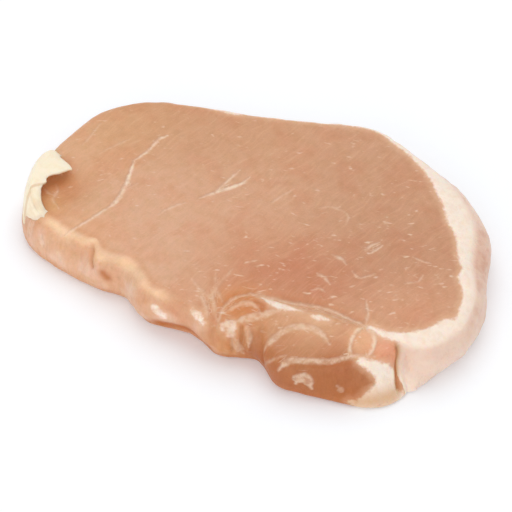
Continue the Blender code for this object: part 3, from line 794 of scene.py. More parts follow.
@dataclass
class SliceBody:
    """The slice without its folded fat: two cut faces and the side between them."""

    outline: Outline
    side_tones: SideTones = SideTones()
    top_step: float = 0.6
    bottom_step: float = 1.4
    border_gap: float = 0.62  # from a cut face's border to the grid inside it, in steps
    shoulder_steps: int = 7
    side_steps: int = 20
    foot_steps: int = 5
    rim_wave: float = 0.9  # how far the rim's inner edge wanders
    rim_waves: float = 52.0  # about how often it does on the way round
    strand_reach: float = 5.0  # how far from its middle a strand is laid
    strand_steps: int = 5
    taper: float = 0.12  # share of a thread's length over which each end narrows
    taper_to: float = 0.35  # how wide the end is, of the thread's own width
    seam_width: float = 0.8
    seam_depth: float = 0.22
    groove_steps: int = 4
    silver_side: tuple[float, float] = (0.3, -2.0)  # way in over which silverskin sets in
    silver_from: tuple[float, float] = (-33.0, -28.0)  # y over which it does
    silver_least: float = 0.6  # how much there is of it away from its thick end
    silver_mean: float = 0.85  # what its ripple swings round
    silver_ripple: Ripple = Ripple(0.3, 5.0, 17.0)
    face_ripples: tuple[Ripple, ...] = (Ripple(0.10, 7.0, 3.1), Ripple(0.05, 2.6, 8.7))
    side_ripples: tuple[Ripple, ...] = (Ripple(0.45, 8.0, 21.3), Ripple(0.22, 3.2, 5.9))
    fat_ripple: Ripple = Ripple(0.12, 3.0, 12.4)
    fat_swell: float = 0.08  # how far fat stands above the lean
    lumpy_side: tuple[float, float] = (3.0, -1.0)  # way in over which the side's lumps set in
    upright: tuple[float, float] = (0.95, 0.6)  # the normal's z over which they do
    cut_from: tuple[float, float] = (-2.0, 1.5)  # way in over which the side becomes a cut face
    settled: float = 1.2  # height over which the relief fades out towards the table

    def build(self) -> tuple[Sheet, Paint]:
        """Makes the mesh, its relief and its paint.

        Returns:
            The sheet in the sketch's frame, and its attributes.
        """
        self.lay_out()
        normals = self.sheet.normals()
        paint = self.paint(normals)
        self.raise_relief(normals, paint)
        return self.sheet, paint

    def lay_out(self) -> None:
        """Makes the sheet, and keeps each point's share of the outline and way in from the edge."""
        rings = self.side_rings()
        count = self.outline.count
        walls = np.vstack(rings)
        top, top_faces = self.filled(rings[0][:, :2], self.top_step, 0, len(walls))
        bottom, bottom_faces = self.filled(
            rings[-1][:, :2], self.bottom_step, len(walls) - count, len(walls) + len(top)
        )
        upper = np.column_stack([top, face_height(*top.T)])
        lower = np.column_stack([bottom, np.zeros(len(bottom))])
        side_faces = [face[::-1] for face in hoop_faces(count, len(rings))]
        faces = side_faces + top_faces + [face[::-1] for face in bottom_faces]
        self.sheet = Sheet(np.vstack([walls, upper, lower]), faces)

        steps = [np.linalg.norm(low - high, axis=1) for high, low in zip(rings, rings[1:])]
        run = np.vstack([np.zeros(count), np.cumsum(steps, axis=0)])
        # Below the widest place the side counts towards the lower cut face
        ring_inward = np.maximum(self.outline.rows[:, 2] - run, run - run[-1])
        share = self.outline.share()

        def place(rows: np.ndarray, line: np.ndarray) -> np.ndarray:
            """Finds the nearest point of a line.

            Args:
                rows: the points to find it for.
                line: as many points as the outline has.

            Returns:
                The share of the outline there, and the gap.
            """
            gaps = np.hypot(rows[:, :1] - line[:, 0], rows[:, 1:] - line[:, 1])
            best = gaps.argmin(axis=1)
            return np.column_stack([share[best], gaps[np.arange(len(rows)), best]])

        on_top = in_blocks(partial(place, line=self.outline.rows[:, :2]), top)
        below = in_blocks(partial(place, line=rings[-1][:, :2]), bottom)
        self.share = np.concatenate([np.tile(share, len(rings)), on_top[:, 0], below[:, 0]])
        self.inward = np.concatenate([ring_inward.ravel(), on_top[:, 1], below[:, 1]])

    def side_rings(self) -> list[np.ndarray]:
        """Works out the side.

        Returns:
            Rings of points from the inner edge of the shoulder, down the side, to the bottom.
        """
        rows, out = self.outline.rows, self.outline.out
        edge, shoulder, notch = rows[:, :2], rows[:, 2], rows[:, 5]
        top = face_height(*(edge - out * (shoulder + notch)[:, None]).T)
        flat = np.zeros(len(edge))

        def at(reach: np.ndarray, height: np.ndarray) -> np.ndarray:
            """Points past the edge, at a height."""
            return np.column_stack([edge + out * reach[:, None], height])

        side_top = top - shoulder
        levels = side_top + np.linspace(0, 1, self.side_steps + 1)[:, None] * (FOOT_ROUND - side_top)
        side = [at(side_out(rows, level / top), level) for level in levels]
        foot_corner, foot_end = at(rows[:, 4], flat), at(rows[:, 4] - FOOT_ROUND, flat)
        return [
            *bezier(at(-shoulder - notch, top), at(-notch, top), side[0], self.shoulder_steps),
            *side[1:-1],
            *bezier(side[-1], foot_corner, foot_end, self.foot_steps),
        ]

    def filled(
        self, ring: np.ndarray, step: float, ring_from: int, inner_from: int
    ) -> tuple[np.ndarray, Faces]:
        """Fills a ring with triangles on a staggered grid.

        Args:
            ring: the border's x and y.
            step: spacing of the grid in mm.
            ring_from: the mesh number of the border's first point.
            inner_from: the mesh number that the first new point gets.

        Returns:
            The new points inside the border, and all the triangles.
        """
        low, high = ring.min(axis=0), ring.max(axis=0)
        lines = np.arange(low[1], high[1], step * math.sqrt(3) / 2)
        across = np.arange(low[0], high[0], step)
        grid = np.vstack(
            [np.column_stack([across + i % 2 * step / 2, across * 0 + y]) for i, y in enumerate(lines)]
        )
        closed = np.vstack([ring, ring[:1]])

        def keep(rows: np.ndarray) -> np.ndarray:
            """Tells which points are inside the ring and not too near to it.

            Args:
                rows: the points.

            Returns:
                True or False for each.
            """
            px, py = rows[:, :1], rows[:, 1:]
            (ax, ay), (bx, by) = closed[:-1].T, closed[1:].T
            crosses = (ay > py) != (by > py)
            rise = np.where(by == ay, 1.0, by - ay)
            within = (crosses & (px < (bx - ax) * (py - ay) / rise + ax)).sum(axis=1) % 2 == 1
            return within & (np.hypot(px - ax, py - ay).min(axis=1) > self.border_gap * step)

        grid = grid[in_blocks(keep, grid)]
        points = [Vector(p) for p in np.vstack([ring, grid])]
        count = len(ring)
        edges = [(i, (i + 1) % count) for i in range(count)]
        found = delaunay_2d_cdt(points, edges, [], 1, 1e-6)
        move = inner_from - count
        triangles = [tuple(i + (ring_from if i < count else move) for i in face) for face in found[2]]
        return np.array([tuple(p) for p in found[0]])[count:], triangles

    def paint(self, normals: np.ndarray) -> Paint:
        """Works out what the finish is told about each point.

        Args:
            normals: the unit normal at each point.

        Returns:
            Under vein: the way across the nearest thread, the distance to it, its half width and
            its strength. Under region: how far inside the fat, how far painted shade in dents (and a
            yellow tint on thin fat) darkens it, how marbled, and how much silverskin. Under tone: the
            lean's colour with the side's painted shade and highlight, and how far it is a cut face.
        """
        points = self.sheet.points
        vein, fat = self.strands(normals)
        flecked = np.clip(sum(patch.at(points) for patch in MARBLING), 0, 1)
        tone = self.side_tones.over(self.lean_tones(), points, self.share, self.inward)
        return {
            "vein": vein,
            "region": np.column_stack([fat, self.grooves(), flecked, self.silverskin()]),
            "tone": np.column_stack([tone, eased(*self.cut_from, self.inward)]),
        }

    def strands(self, normals: np.ndarray) -> tuple[np.ndarray, np.ndarray]:
        """Lays the rim and the strands over the points, and keeps the furrows along the seams.

        Args:
            normals: the unit normal at each point.

        Returns:
            The vein attribute, and how far inside the fat each point is.
        """
        points = self.sheet.points
        vein = np.tile([FAR, FAR, 0.3, 0.0], (len(points), 1))
        reach = np.interp(self.share, *np.array(RIM_REACH).T)
        wave = np.array([noise.noise(Vector((self.rim_waves * s, 4.4, 0.0))) for s in self.share])
        fat = reach + self.rim_wave * wave * (reach > 0) - self.inward
        self.furrow = np.zeros(len(points))
        for strand in STRANDS:
            for sunk in (False, True)[: 1 + strand.through]:
                line = self.strand_line(strand, sunk)
                near = self.near(line, self.strand_reach)
                gap, passed, off = nearest_on(points[near], line)
                passed = passed / (len(line) - 1)
                half = np.interp(passed, np.linspace(0, 1, len(strand.halves)), strand.halves)
                if strand.kind is StrandKind.FAT:
                    fat[near] = np.maximum(fat[near], np.minimum(half - gap, strand.strength - FAT_SHOWS))
                    continue
                along = np.gradient(line, axis=0)[np.round(passed * (len(line) - 1)).astype(int)]
                across = np.cross(normals[near], along)
                across /= np.linalg.norm(across, axis=1, keepdims=True)
                ends = np.clip(np.minimum(passed, 1 - passed) / self.taper, self.taper_to, 1)
                strength = np.full(len(gap), strand.strength)
                rows = np.column_stack([(off * across).sum(axis=1), gap, half * ends, strength])
                closer = gap - half < vein[near, 1] - vein[near, 2]
                vein[near[closer]] = rows[closer]
                if strand.kind is StrandKind.SEAM:
                    self.furrow[near] = np.maximum(self.furrow[near], bell(gap, self.seam_width))
        return vein, fat

    def strand_line(self, strand: Strand, sunk: bool) -> np.ndarray:
        """Runs a strand over the slice.

        Args:
            strand: the strand.
            sunk: whether it is its copy on the lower cut face.

        Returns:
            Its points in space.
        """
        flat = np.array([knot[:2] for knot in strand.knots])
        top = face_height(*flat.T)
        given = [top[i] if len(knot) < 3 else knot[2] for i, knot in enumerate(strand.knots)]
        return open_spline(np.column_stack([flat, [0.0] * len(flat) if sunk else given]), self.strand_steps)

    def near(self, line: np.ndarray, margin: float) -> np.ndarray:
        """Finds the points in the box round a line.

        Args:
            line: the line's points.
            margin: how far the box reaches past it.

        Returns:
            The points' numbers.
        """
        points = self.sheet.points
        low, high = line.min(axis=0) - margin, line.max(axis=0) + margin
        return np.nonzero(((points > low) & (points < high)).all(axis=1))[0]

    def grooves(self) -> np.ndarray:
        """Lays the grooves over the points, and keeps how deep they are.

        Returns:
            How much painted shade darkens each point in dents, and a yellow tint colours thin fat, from 0
            to 1.
        """
        points = self.sheet.points
        shade_and_tint = np.zeros(len(points))
        self.dent = np.zeros(len(points))
        for groove in GROOVES:
            line = open_spline(np.array(groove.knots), self.groove_steps)
            near = self.near(line, 4 * groove.reach)
            fall = bell(nearest_on(points[near], line)[0], groove.reach)
            shade_and_tint[near] = np.maximum(shade_and_tint[near], groove.shade_and_tint * fall)
            self.dent[near] += groove.depth * fall
        return shade_and_tint

    def silverskin(self) -> np.ndarray:
        """Spreads thin skin over the fat's side.

        Returns:
            How much of it veils each point, from 0 to 1.
        """
        points = self.sheet.points
        cover = self.silver_least + SILVER_END.at(points)
        cover *= self.silver_mean + self.silver_ripple.at(points)
        cover *= eased(*self.silver_side, self.inward) * eased(*self.silver_from, points[:, 1])
        return np.clip(cover, 0, 1)

    def lean_tones(self) -> np.ndarray:
        """Mixes the colour of the lean from the tones near each point.

        Returns:
            Linear red, green and blue at each point.
        """
        x, y, z = self.sheet.points.T
        z = np.where(z < UNDERSIDE, TOP_Z, z)
        total = np.full(len(x), LEAN_WEIGHT)
        colour = np.outer(total, linear(LEAN)[:3])
        for tone in TONES:
            gap = (x - tone.x) ** 2 + (y - tone.y) ** 2 + (z - tone.z) ** 2
            weight = tone.weight * np.exp(-0.5 * gap / tone.reach**2)
            total += weight
            colour += np.outer(weight, linear(tone.colour)[:3])
        return colour / total[:, None]

    def raise_relief(self, normals: np.ndarray, paint: Paint) -> None:
        """Moves the points out and in, to give the surface its lumps, furrows and dents.

        Args:
            normals: the unit normal at each point.
            paint: the attributes.
        """
        points = self.sheet.points
        side = eased(*self.lumpy_side, self.inward) * eased(*self.upright, np.abs(normals[:, 2]))
        fat = eased(-FAT_EDGE, FAT_EDGE, paint["region"][:, 0])
        rise = rippled(self.face_ripples, points) + side * rippled(self.side_ripples, points)
        rise += fat * (self.fat_ripple.at(points) + self.fat_swell)
        rise -= self.seam_depth * self.furrow + self.dent
        rise *= eased(0.0, self.settled, points[:, 2])
        self.sheet.points = points + normals * rise[:, None]


@dataclass
class FoldedFat:
    """The tongue of fat that wraps the left end and curls over the cut face."""

    outline: Outline
    bottom: float = 3.0
    sunk: float = 0.5  # how far its foot is inside the slice
    shoulder: float = 0.8  # share of the slice's height at which it starts to turn in
    turn: float = 1.6
    crest_at: float = 0.35  # share of the lip at which it is highest
    drop: float = 0.45  # how far the turn is below the crest, of the crest's height
    tip: float = 0.7
    root: float = 2.2
    nick: float = 0.9  # how deep the nicks in the free edge are
    nicks: float = 190.0  # how close they are
    nicked: tuple[float, float] = (3.8, 6.0)  # lips over which they set in
    overlap: float = 0.35  # how far the lower piece stands above the upper one
    step_over: float = 0.008  # share of the fold's length over which it does, to each side
    ripples: tuple[Ripple, ...] = (Ripple(0.16, 4.5, 2.2), Ripple(0.06, 1.6, 6.4))
    steps: int = 100
    across: int = 9

    def build(self) -> tuple[Sheet, Paint]:
        """Makes the mesh and its paint.

        Returns:
            The sheet in the sketch's frame, and its attributes.
        """
        rings = self.sections()
        size = len(rings[0])
        half = size // 2
        faces = hoop_faces(size, len(rings))
        for start, turned in ((0, True), (size * self.steps, False)):
            for i in range(half - 1):
                quad = (start + i, start + i + 1, start + size - i - 2, start + size - i - 1)
                faces.append(quad[::-1] if turned else quad)
        sheet = Sheet(np.vstack(rings), faces)
        out_and_home = np.concatenate([np.linspace(0, 1, half), np.linspace(1, 0, half)])
        passed = np.tile(out_and_home, len(rings))
        along = np.repeat(np.linspace(0, 1, len(rings)), size)
        outer = np.tile(np.arange(size) < half, len(rings))
        past_line = along - (FOLD_LINE[0] + FOLD_LINE[1] * passed)
        lower = outer * eased(-self.step_over, self.step_over, past_line) * eased(1.0, 0.8, along)
        rise = rippled(self.ripples, sheet.points) + self.overlap * lower
        sheet.points = sheet.points + sheet.normals() * rise[:, None]
        return sheet, {"fold": np.column_stack([passed, along, 0 * along, 0 * along + 1])}

    def sections(self) -> list[np.ndarray]:
        """Works out the sections through the fold.

        Returns:
            Rings of points round it, from its upper end to its lower one.
        """
        share = self.outline.share()
        placed = np.hstack([self.outline.rows, self.outline.out])
        keys = np.array(FOLDS)
        rings = []
        for along in np.linspace(keys[0, 0], keys[-1, 0], self.steps + 1):
            fold = Fold(*(np.interp(along, keys[:, 0], column) for column in keys.T))
            ragged = noise.noise(Vector((along * self.nicks, 1.7, 0.0)))
            nick = self.nick * float(ragged * eased(*self.nicked, np.array(fold.lip)))
            place = np.array([np.interp(along, share, column) for column in placed.T])
            out = place[-2:] / np.linalg.norm(place[-2:])
            rings.append(self.section(place[:-2], out, fold._replace(lip=fold.lip + nick)))
        return rings

    def section(self, place: np.ndarray, out: np.ndarray, fold: Fold) -> np.ndarray:
        """One section through the fold: up its outside to the free edge, then home underneath.

        Args:
            place: the outline's row there.
            out: the way out of the slice.
            fold: the section's sizes.

        Returns:
            Points in space.
        """

        def side(height: float) -> float:
            """How far the slice's side stands past its edge at a height."""
            return float(side_out(place[None, :], np.array([height / THICKNESS]))[0])

        widest, shoulder = GIRTH_AT * THICKNESS, self.shoulder * THICKNESS
        shoulder_out = side(shoulder) + fold.proud
        back = (
            (side(self.bottom) - self.sunk, self.bottom),
            (side(widest) + fold.proud, widest),
            (shoulder_out, shoulder),
            (shoulder_out - self.turn, THICKNESS + fold.crest - self.drop * abs(fold.crest)),
            (-self.crest_at * fold.lip, THICKNESS + fold.crest),
            (-fold.lip, THICKNESS + fold.rise),
        )
        underside = (
            (-fold.lip, THICKNESS + fold.rise - self.tip),
            (-0.5 * (fold.lip + self.root), THICKNESS + fold.crest - fold.thick),
            (-self.root, THICKNESS - 2 * self.root),
            (-self.root, widest),
            (-self.root, 0.5 * (widest + self.bottom)),
            (-self.root, self.bottom),
        )
        section = np.vstack([open_spline(np.array(knots), self.across) for knots in (back, underside)])
        return np.column_stack([place[:2] + section[:, :1] * out, section[:, 1]])


def add_node(
    tree: bpy.types.NodeTree, kind: str, inputs: dict | tuple = (), **settings: object
) -> bpy.types.Node:
    """Adds a shader node.

    Args:
        tree: where it goes.
        kind: its type, without the leading ShaderNode.
        inputs: a value, socket or node for each input, in order or under the input's name or number.
        **settings: the node's own properties.

    Returns:
        The node.
    """
    node = tree.nodes.new("ShaderNode" + kind)
    for name, value in settings.items():
        setattr(node, name, value)
    for key, value in inputs.items() if isinstance(inputs, dict) else enumerate(inputs):
        if isinstance(value, bpy.types.Node):
            value = next(socket for socket in value.outputs if socket.enabled)
        if isinstance(value, bpy.types.NodeSocket):
            tree.links.new(value, node.inputs[key])
        else:
            node.inputs[key].default_value = value
    return node


def new_material(name: str) -> tuple[bpy.types.Material, Adder]:
    """Makes an empty material.

    Args:
        name: what the surface is and how it was made.

    Returns:
        The material, and the function that adds nodes to it.
    """
    made = bpy.data.materials.new(name)
    made.use_nodes = True
    made.node_tree.nodes.clear()
    return made, partial(add_node, made.node_tree)


def add_surface(add: Adder, inputs: dict[str, object]) -> None:
    """Ends a material with a surface that has these inputs."""
    add("OutputMaterial", {"Surface": add("BsdfPrincipled", inputs)})


@dataclass(frozen=True)
class Palette:
    """Colours of the meat and its fat."""

    blush: str = "#fcebe2"  # multiplies the lean where it is pinker
    drab: str = "#f3f0e2"  # multiplies it where it is duller
    sheen: str = "#e6bd9c"  # bundles that lie open to the light
    haze: str = "#e7bd9a"  # lean that the fat shows through
    fleck: str = "#efd5bd"
    thread: str = "#f3dcc2"
    bruise: str = "#b07a66"  # the mauve edge beside a seam
    dent_shade: str = "#b9651a"  # painted shade in dents, pockets and undercuts
    gold: str = "#c88a32"  # where the fat is thin and yellow
    fat: str = "#fbe8d8"
    fat_shade: str = "#f2d6bf"
    silver: str = "#d9a88e"


class Pattern(Enum):
    """A noise in the meat: how far apart its blots are in mm, its detail and its roughness."""

    CLOUDS = (9.0, 3.0, 0.5)
    MOTTLE = (3.2, 3.0, 0.6)
    GRAIN = (0.55, 2.0, 0.7)  # single fibres are 0.05 mm, too fine to show, so they are drawn coarser
    CLUSTERS = (4.2, 2.0, 0.5)  # of flecks
    WANDER = (1.5, 3.0, 0.6)  # of threads
    BREAKS = (2.4, 3.0, 0.6)  # in threads
    LAYERS = (2.6, 4.0, 0.6)  # in fat


@dataclass
class RawPork:
    """Raw pork loin, cut across the grain with a knife.

    The eye gets pale pink-tan lean with a soft inner glow, fibre bundles that show as faint streaks,
    white threads and flecks, and a moist surface that is glossy only in small points.
    """

    palette: Palette = Palette()
    bend_mm: float = 12.0  # size of the bends that bundles and flecks follow
    bend_by_mm: float = 6.0
    bundle_mm: tuple[float, float, float] = (0.8, 9.0, 4.0)  # a fibre bundle's width, run and depth
    bundle_lean: float = math.radians(19)  # how far the bundles lean from the slice's width
    side_bundle_mm: tuple[float, float, float] = (1.3, 1.3, 5.0)  # they stand upright in the side
    fleck_mm: tuple[float, float, float] = (2.6, 1.1, 2.0)
    fleck_turn: float = math.radians(-20)
    fray_mm: float = 1.6
    roughness: float = 0.42
    glow_mm: float = 2.2

    def __post_init__(self) -> None:
        """Starts the material, which reads the attributes vein, region and tone."""
        self.made, add = new_material("raw_pork_loin_knife_cut")
        self.add = add
        self.place = add("Mapping", {"Vector": add("TexCoord").outputs["Object"], "Scale": (1 / MM,) * 3})
        bend = add("TexNoise", {"Vector": self.place, "Scale": 1 / self.bend_mm, "Detail": 1.0})
        reach = (self.bend_by_mm, self.bend_by_mm, 0.0)
        self.bent = add("VectorMath", (bend.outputs["Color"], reach, self.place), **TIMES_PLUS)
        vein, region, tone = (add("Attribute", attribute_name=key) for key in ("vein", "region", "tone"))
        self.across, self.gap, self.half = add("SeparateColor", (vein,)).outputs
        self.inside, self.shade_and_tint, self.marbled = add("SeparateColor", (region,)).outputs
        self.strength, self.silver, self.cut = (node.outputs["Alpha"] for node in (vein, region, tone))
        self.colour = tone
        self.noise = {}
        for pattern in Pattern:
            size, detail, rough = pattern.value
            inputs = {"Vector": self.place, "Scale": 1 / size, "Detail": detail, "Roughness": rough}
            self.noise[pattern] = add("TexNoise", inputs)

    def lay(self, share: Link | float, colour: Link | str, **settings: str) -> None:
        """Lays a colour over the ones so far.

        Args:
            share: how much of it shows.
            colour: the colour, or its hex value.
            **settings: how it mixes.
        """
        over = linear(colour) if isinstance(colour, str) else colour
        self.colour = self.add("Mix", {0: share, 6: self.colour, 7: over}, data_type="RGBA", **settings)

    def material(self) -> bpy.types.Material:
        """Adds the layers and the surface.

        Returns:
            The material.
        """
        add = self.add
        bundles, upright = self.lay_lean()
        specks = self.lay_marbling()
        threads = self.lay_threads()
        relief = self.lay_fat()
        grain = self.noise[Pattern.GRAIN]
        heights = ((threads, 0.08), (specks, 0.05), (bundles, 0.07), (grain, 0.06), (upright, 0.35))
        for share, height in heights:
            relief = add("Math", (share, height, relief), **TIMES_PLUS)
        rough = (self.roughness - 0.06, self.roughness + 0.1)
        add_surface(
            add,
            {
                "Base Color": self.colour,
                "Roughness": add("MapRange", (self.noise[Pattern.MOTTLE], 0.3, 0.7, *rough)),
                "IOR": 1.4,
                "Subsurface Weight": 0.45,
                "Subsurface Radius": (1.0, 0.45, 0.22),
                "Subsurface Scale": self.glow_mm * MM,
                "Coat Weight": 0.14,
                "Coat Roughness": 0.3,
                "Normal": add("Bump", {"Height": relief, "Distance": MM, "Strength": 1.0}),
            },
        )
        return self.made

    def lay_lean(self) -> tuple[Link, Link]:
        """Lays soft clouds, mottling, and fibre bundles that run towards the rear.

        Returns:
            The bundles of the cut faces, and those that stand upright in the side.
        """
        add, noise, tints = self.add, self.noise, {"blend_type": "MULTIPLY"}
        self.turned = add("Mapping", {"Vector": self.bent, "Rotation": (0, 0, self.bundle_lean)})
        strung = add("Mapping", {"Vector": self.turned, "Scale": per_mm(self.bundle_mm)})
        bundles = add("TexNoise", {"Vector": strung, "Scale": 1.0, "Detail": 3.0, "Roughness": 0.55})
        pinker = add("MapRange", (noise[Pattern.CLOUDS], 0.42, 0.66, 0.0, 0.55), **SMOOTH)
        duller = add("MapRange", (noise[Pattern.MOTTLE], 0.4, 0.7, 0.0, 0.5), **SMOOTH)
        self.lay(pinker, self.palette.blush, **tints)
        self.lay(duller, self.palette.drab, **tints)
        lying_open = add("MapRange", (bundles, 0.48, 0.78, 0.0, 0.2), **SMOOTH)
        self.lay(add("Math", (lying_open, self.cut), **TIMES), self.palette.sheen)
        streak = add("MapRange", (bundles, 0.25, 0.6, 0.97, 1.0), **SMOOTH)
        dusty = add("MapRange", (noise[Pattern.GRAIN], 0.25, 0.75, 0.965, 1.035), **SMOOTH)
        both = add("Math", (streak, dusty), **TIMES)
        self.lay(1.0, add("CombineColor", (both, both, both)), **tints)

        upright = add("Mapping", {"Vector": self.place, "Scale": per_mm(self.side_bundle_mm)})
        upright = {"Vector": upright, "Scale": 1.0, "Detail": 3.0, "Roughness": 0.6, "Distortion": 0.4}
        upright = add("TexNoise", upright)
        shade = (add("MapRange", (upright, 0.3, 0.7, low, 1.02)) for low in (0.95, 0.9, 0.86))
        on_side = add("MapRange", (self.cut, 0.1, 0.8, 1.0, 0.0), **SMOOTH)
        self.lay(on_side, add("CombineColor", tuple(shade)), **tints)
        return bundles, add("Math", (upright, on_side), **TIMES)

    def lay_marbling(self) -> Link:
        """Lays short soft flecks of fat, in clusters.

        Returns:
            How much of one each point is.
        """
        add = self.add
        laid = add("Mapping", {"Vector": self.bent, "Rotation": (0, 0, self.fleck_turn)})
        laid = add("Mapping", {"Vector": laid, "Scale": per_mm(self.fleck_mm)})
        level = add("TexNoise", {"Vector": laid, "Scale": 1.0, "Detail": 1.6, "Roughness": 0.5})
        likely = add("Math", (self.marbled, 0.06), **TIMES)
        clusters = add("MapRange", (self.noise[Pattern.CLUSTERS], 0.35, 0.65, -0.06, 0.06), **SMOOTH)
        level = add("Math", (level, add("Math", (likely, clusters))))
        specks = add("MapRange", (level, 0.66, 0.9, 0.0, 0.66), **SMOOTH)
        specks = add("Math", (specks, self.cut), **TIMES)
        self.lay(specks, self.palette.fleck)
        return specks

    def lay_threads(self) -> Link:
        """Lays threads and seams, which wander, blur and break up.

        Returns:
            How much of one each point is.
        """
        add, noise = self.add, self.noise
        aside = add("MapRange", (noise[Pattern.WANDER], 0.2, 0.8, -0.3, 0.3))
        aside = add("Math", (self.across, aside))
        over = add("Math", (add("Math", (aside,), operation="ABSOLUTE"), self.half), **LESS)
        beyond = add("Math", (self.gap, self.half), **LESS)
        guard = add("MapRange", (beyond, 0.5, 1.1, 1.0, 0.0), **SMOOTH)
        guard = add("Math", (guard, self.strength), **TIMES)
        threads = add("Math", (add("MapRange", (over, -0.5, 0.6, 1.0, 0.0), **SMOOTH), guard), **TIMES)
        patchy = add("MapRange", (noise[Pattern.BREAKS], 0.34, 0.62, 0.4, 1.0), **SMOOTH)
        threads = add("Math", (threads, patchy), **TIMES)
        side = add("Math", (aside, self.half), **LESS)
        beside = add("Math", (add("MapRange", (side, 0.9, 0.1), **SMOOTH), guard), **TIMES)
        one_side = add("MapRange", (aside, 0.0, 0.3, 0.0, 0.4), **SMOOTH)
        self.lay(add("Math", (beside, one_side), **TIMES), self.palette.bruise)
        self.lay(threads, self.palette.thread)
        return threads

    def lay_fat(self) -> Link:
        """Lays painted shade in dents, then fat with a frayed edge that the lean shows through, yellower
        where the mark is weak and painted shade where it is strong.

        Returns:
            The height of its lumps, in mm.
        """
        add, p, layers = self.add, self.palette, self.noise[Pattern.LAYERS]
        fray = {"Vector": self.turned, "Scale": 1 / self.fray_mm, "Detail": 3.0, "Roughness": 0.6}
        fray = add("MapRange", (add("TexNoise", fray), 0.25, 0.75, -0.5, 0.5))
        depth = add("Math", (self.inside, fray))
        fatty = add("MapRange", (depth, -FAT_EDGE, FAT_EDGE, 0.0, 1.0), **SMOOTH)
        self.lay(add("MapRange", (depth, -2.6, 0.0, 0.0, 0.5), **SMOOTH), p.haze)
        # Painted shade in dents, pockets and undercuts, over the lean
        self.lay(self.shade_and_tint, p.dent_shade)
        layered = add("MapRange", (layers, 0.42, 0.68, 0.0, 0.5), **SMOOTH)
        veil = add("MapRange", (layers, 0.35, 0.6, 1.0, 0.72), **SMOOTH)
        veil = add("Math", (self.silver, veil), **TIMES)
        # In the fat the mark is a yellow tint where weak and painted shade where strong
        dark = add("MapRange", (self.shade_and_tint, 0.62, 0.85), **SMOOTH)
        dark = add("Mix", {0: dark, 6: linear(p.gold), 7: linear(p.dent_shade)}, **COLOUR)
        fat = linear(p.fat)
        for share, colour in ((layered, linear(p.fat_shade)), (veil, linear(p.silver)), (self.shade_and_tint, dark)):
            fat = add("Mix", {0: share, 6: fat, 7: colour}, **COLOUR)
        self.lay(fatty, fat)
        lumps = add("MapRange", (layers, 0.3, 0.7, 0.0, 0.16), **SMOOTH)
        return add("Math", (fatty, lumps), **TIMES)


@dataclass(frozen=True)
class PorkFat:
    """Back fat with its skin of connective tissue, pulled off the side and folded over.

    The eye gets warm cream with a waxy depth, faint streaks along the pull and a dull, moist sheen.
    Towards the lower end it thins out, and the lean of the side shows through.
    """

    cream: str = "#fcedd3"
    shade: str = "#f1d6ae"
    # Painted shade along the line where the lower piece lies over the upper one
    crease_shade: str = "#bd8a55"
    lean: str = "#f1dcc3"
    streaks: tuple[float, float] = (7.0, 3.0)  # bands of streaks across the fold and along it
    cloud_mm: float = 3.0
    roughness: float = 0.46
    glow_mm: float = 2.0

    def material(self) -> bpy.types.Material:
        """Builds the shader.

        Returns:
            The material, which reads the attribute fold.
        """
        made, add = new_material("pork_fat_torn_and_folded")
        place = add("Mapping", {"Vector": add("TexCoord").outputs["Object"], "Scale": (1 / MM,) * 3})
        passed, along, _ = add("SeparateColor", (add("Attribute", attribute_name="fold"),)).outputs
        pulled = add("CombineXYZ", (passed, along, 0.0))
        pulled = add("Mapping", {"Vector": pulled, "Scale": (*self.streaks, 1.0)})
        streaks = add("TexNoise", {"Vector": pulled, "Scale": 1.0, "Detail": 4.0, "Roughness": 0.65})
        clouds = add("TexNoise", {"Vector": place, "Scale": 1 / self.cloud_mm, "Detail": 4.0})
        mixed = add("Math", (streaks, 0.6, add("Math", (clouds, 0.4), **TIMES)), **TIMES_PLUS)
        lower = add("MapRange", (along, 0.3, 0.8, 0.0, 0.1), **SMOOTH)
        shaded = add("MapRange", (add("Math", (mixed, lower)), 0.5, 0.72, 0.0, 0.7), **SMOOTH)
        colour = add("Mix", {0: shaded, 6: linear(self.cream), 7: linear(self.shade)}, **COLOUR)
        # Painted shade line along the step where the lower piece lies over the upper one
        line = add("Math", (passed, FOLD_LINE[1], FOLD_LINE[0]), **TIMES_PLUS)
        off_line = add("Math", (add("Math", (along, line), **LESS),), operation="ABSOLUTE")
        crease_shaded = add("MapRange", (off_line, 0.004, 0.024, 0.28, 0.0), **SMOOTH)
        colour = add("Mix", {0: crease_shaded, 6: colour, 7: linear(self.crease_shade)}, **COLOUR)
        worn = add("Math", (add("Math", (clouds, 0.5), **LESS), 0.5, along), **TIMES_PLUS)
        thin = add("MapRange", (worn, 0.74, 0.92, 0.0, 1.0), **SMOOTH)
        colour = add("Mix", {0: thin, 6: colour, 7: linear(self.lean)}, **COLOUR)
        relief = add("MapRange", (mixed, 0.25, 0.75, 0.0, 0.14))
        rough = (self.roughness - 0.06, self.roughness + 0.08)
        add_surface(
            add,
            {
                "Base Color": colour,
                "Roughness": add("MapRange", (clouds, 0.3, 0.7, *rough)),
                "IOR": 1.44,
                "Subsurface Weight": 0.3,
                "Subsurface Radius": (1.0, 0.7, 0.5),
                "Subsurface Scale": self.glow_mm * MM,
                "Normal": add("Bump", {"Height": relief, "Distance": MM, "Strength": 1.0}),
            },
        )
        return made


@dataclass(frozen=True)
class WhiteAcrylic:
    """A matte white acrylic sheet, lit a little from below.

    The eye gets an even white floor on which shadows stay pale.
    """

    colour: str = "#f6f8fa"
    light: str = "#e0edff"
    glow: float = 0.12
    roughness: float = 0.9

    def material(self) -> bpy.types.Material:
        """Builds the shader.

        Returns:
            The material.
        """
        made, add = new_material("white_acrylic_sheet_matte")
        add_surface(
            add,
            {
                "Base Color": linear(self.colour),
                "Roughness": self.roughness,
                "Specular IOR Level": 0.1,
                "Emission Color": linear(self.light),
                "Emission Strength": self.glow,
            },
        )
        return made


class Softbox(NamedTuple):
    """A large square light that faces the slice."""

    name: str
    side_mm: float
    watts: float
    at_mm: tuple[float, float, float]


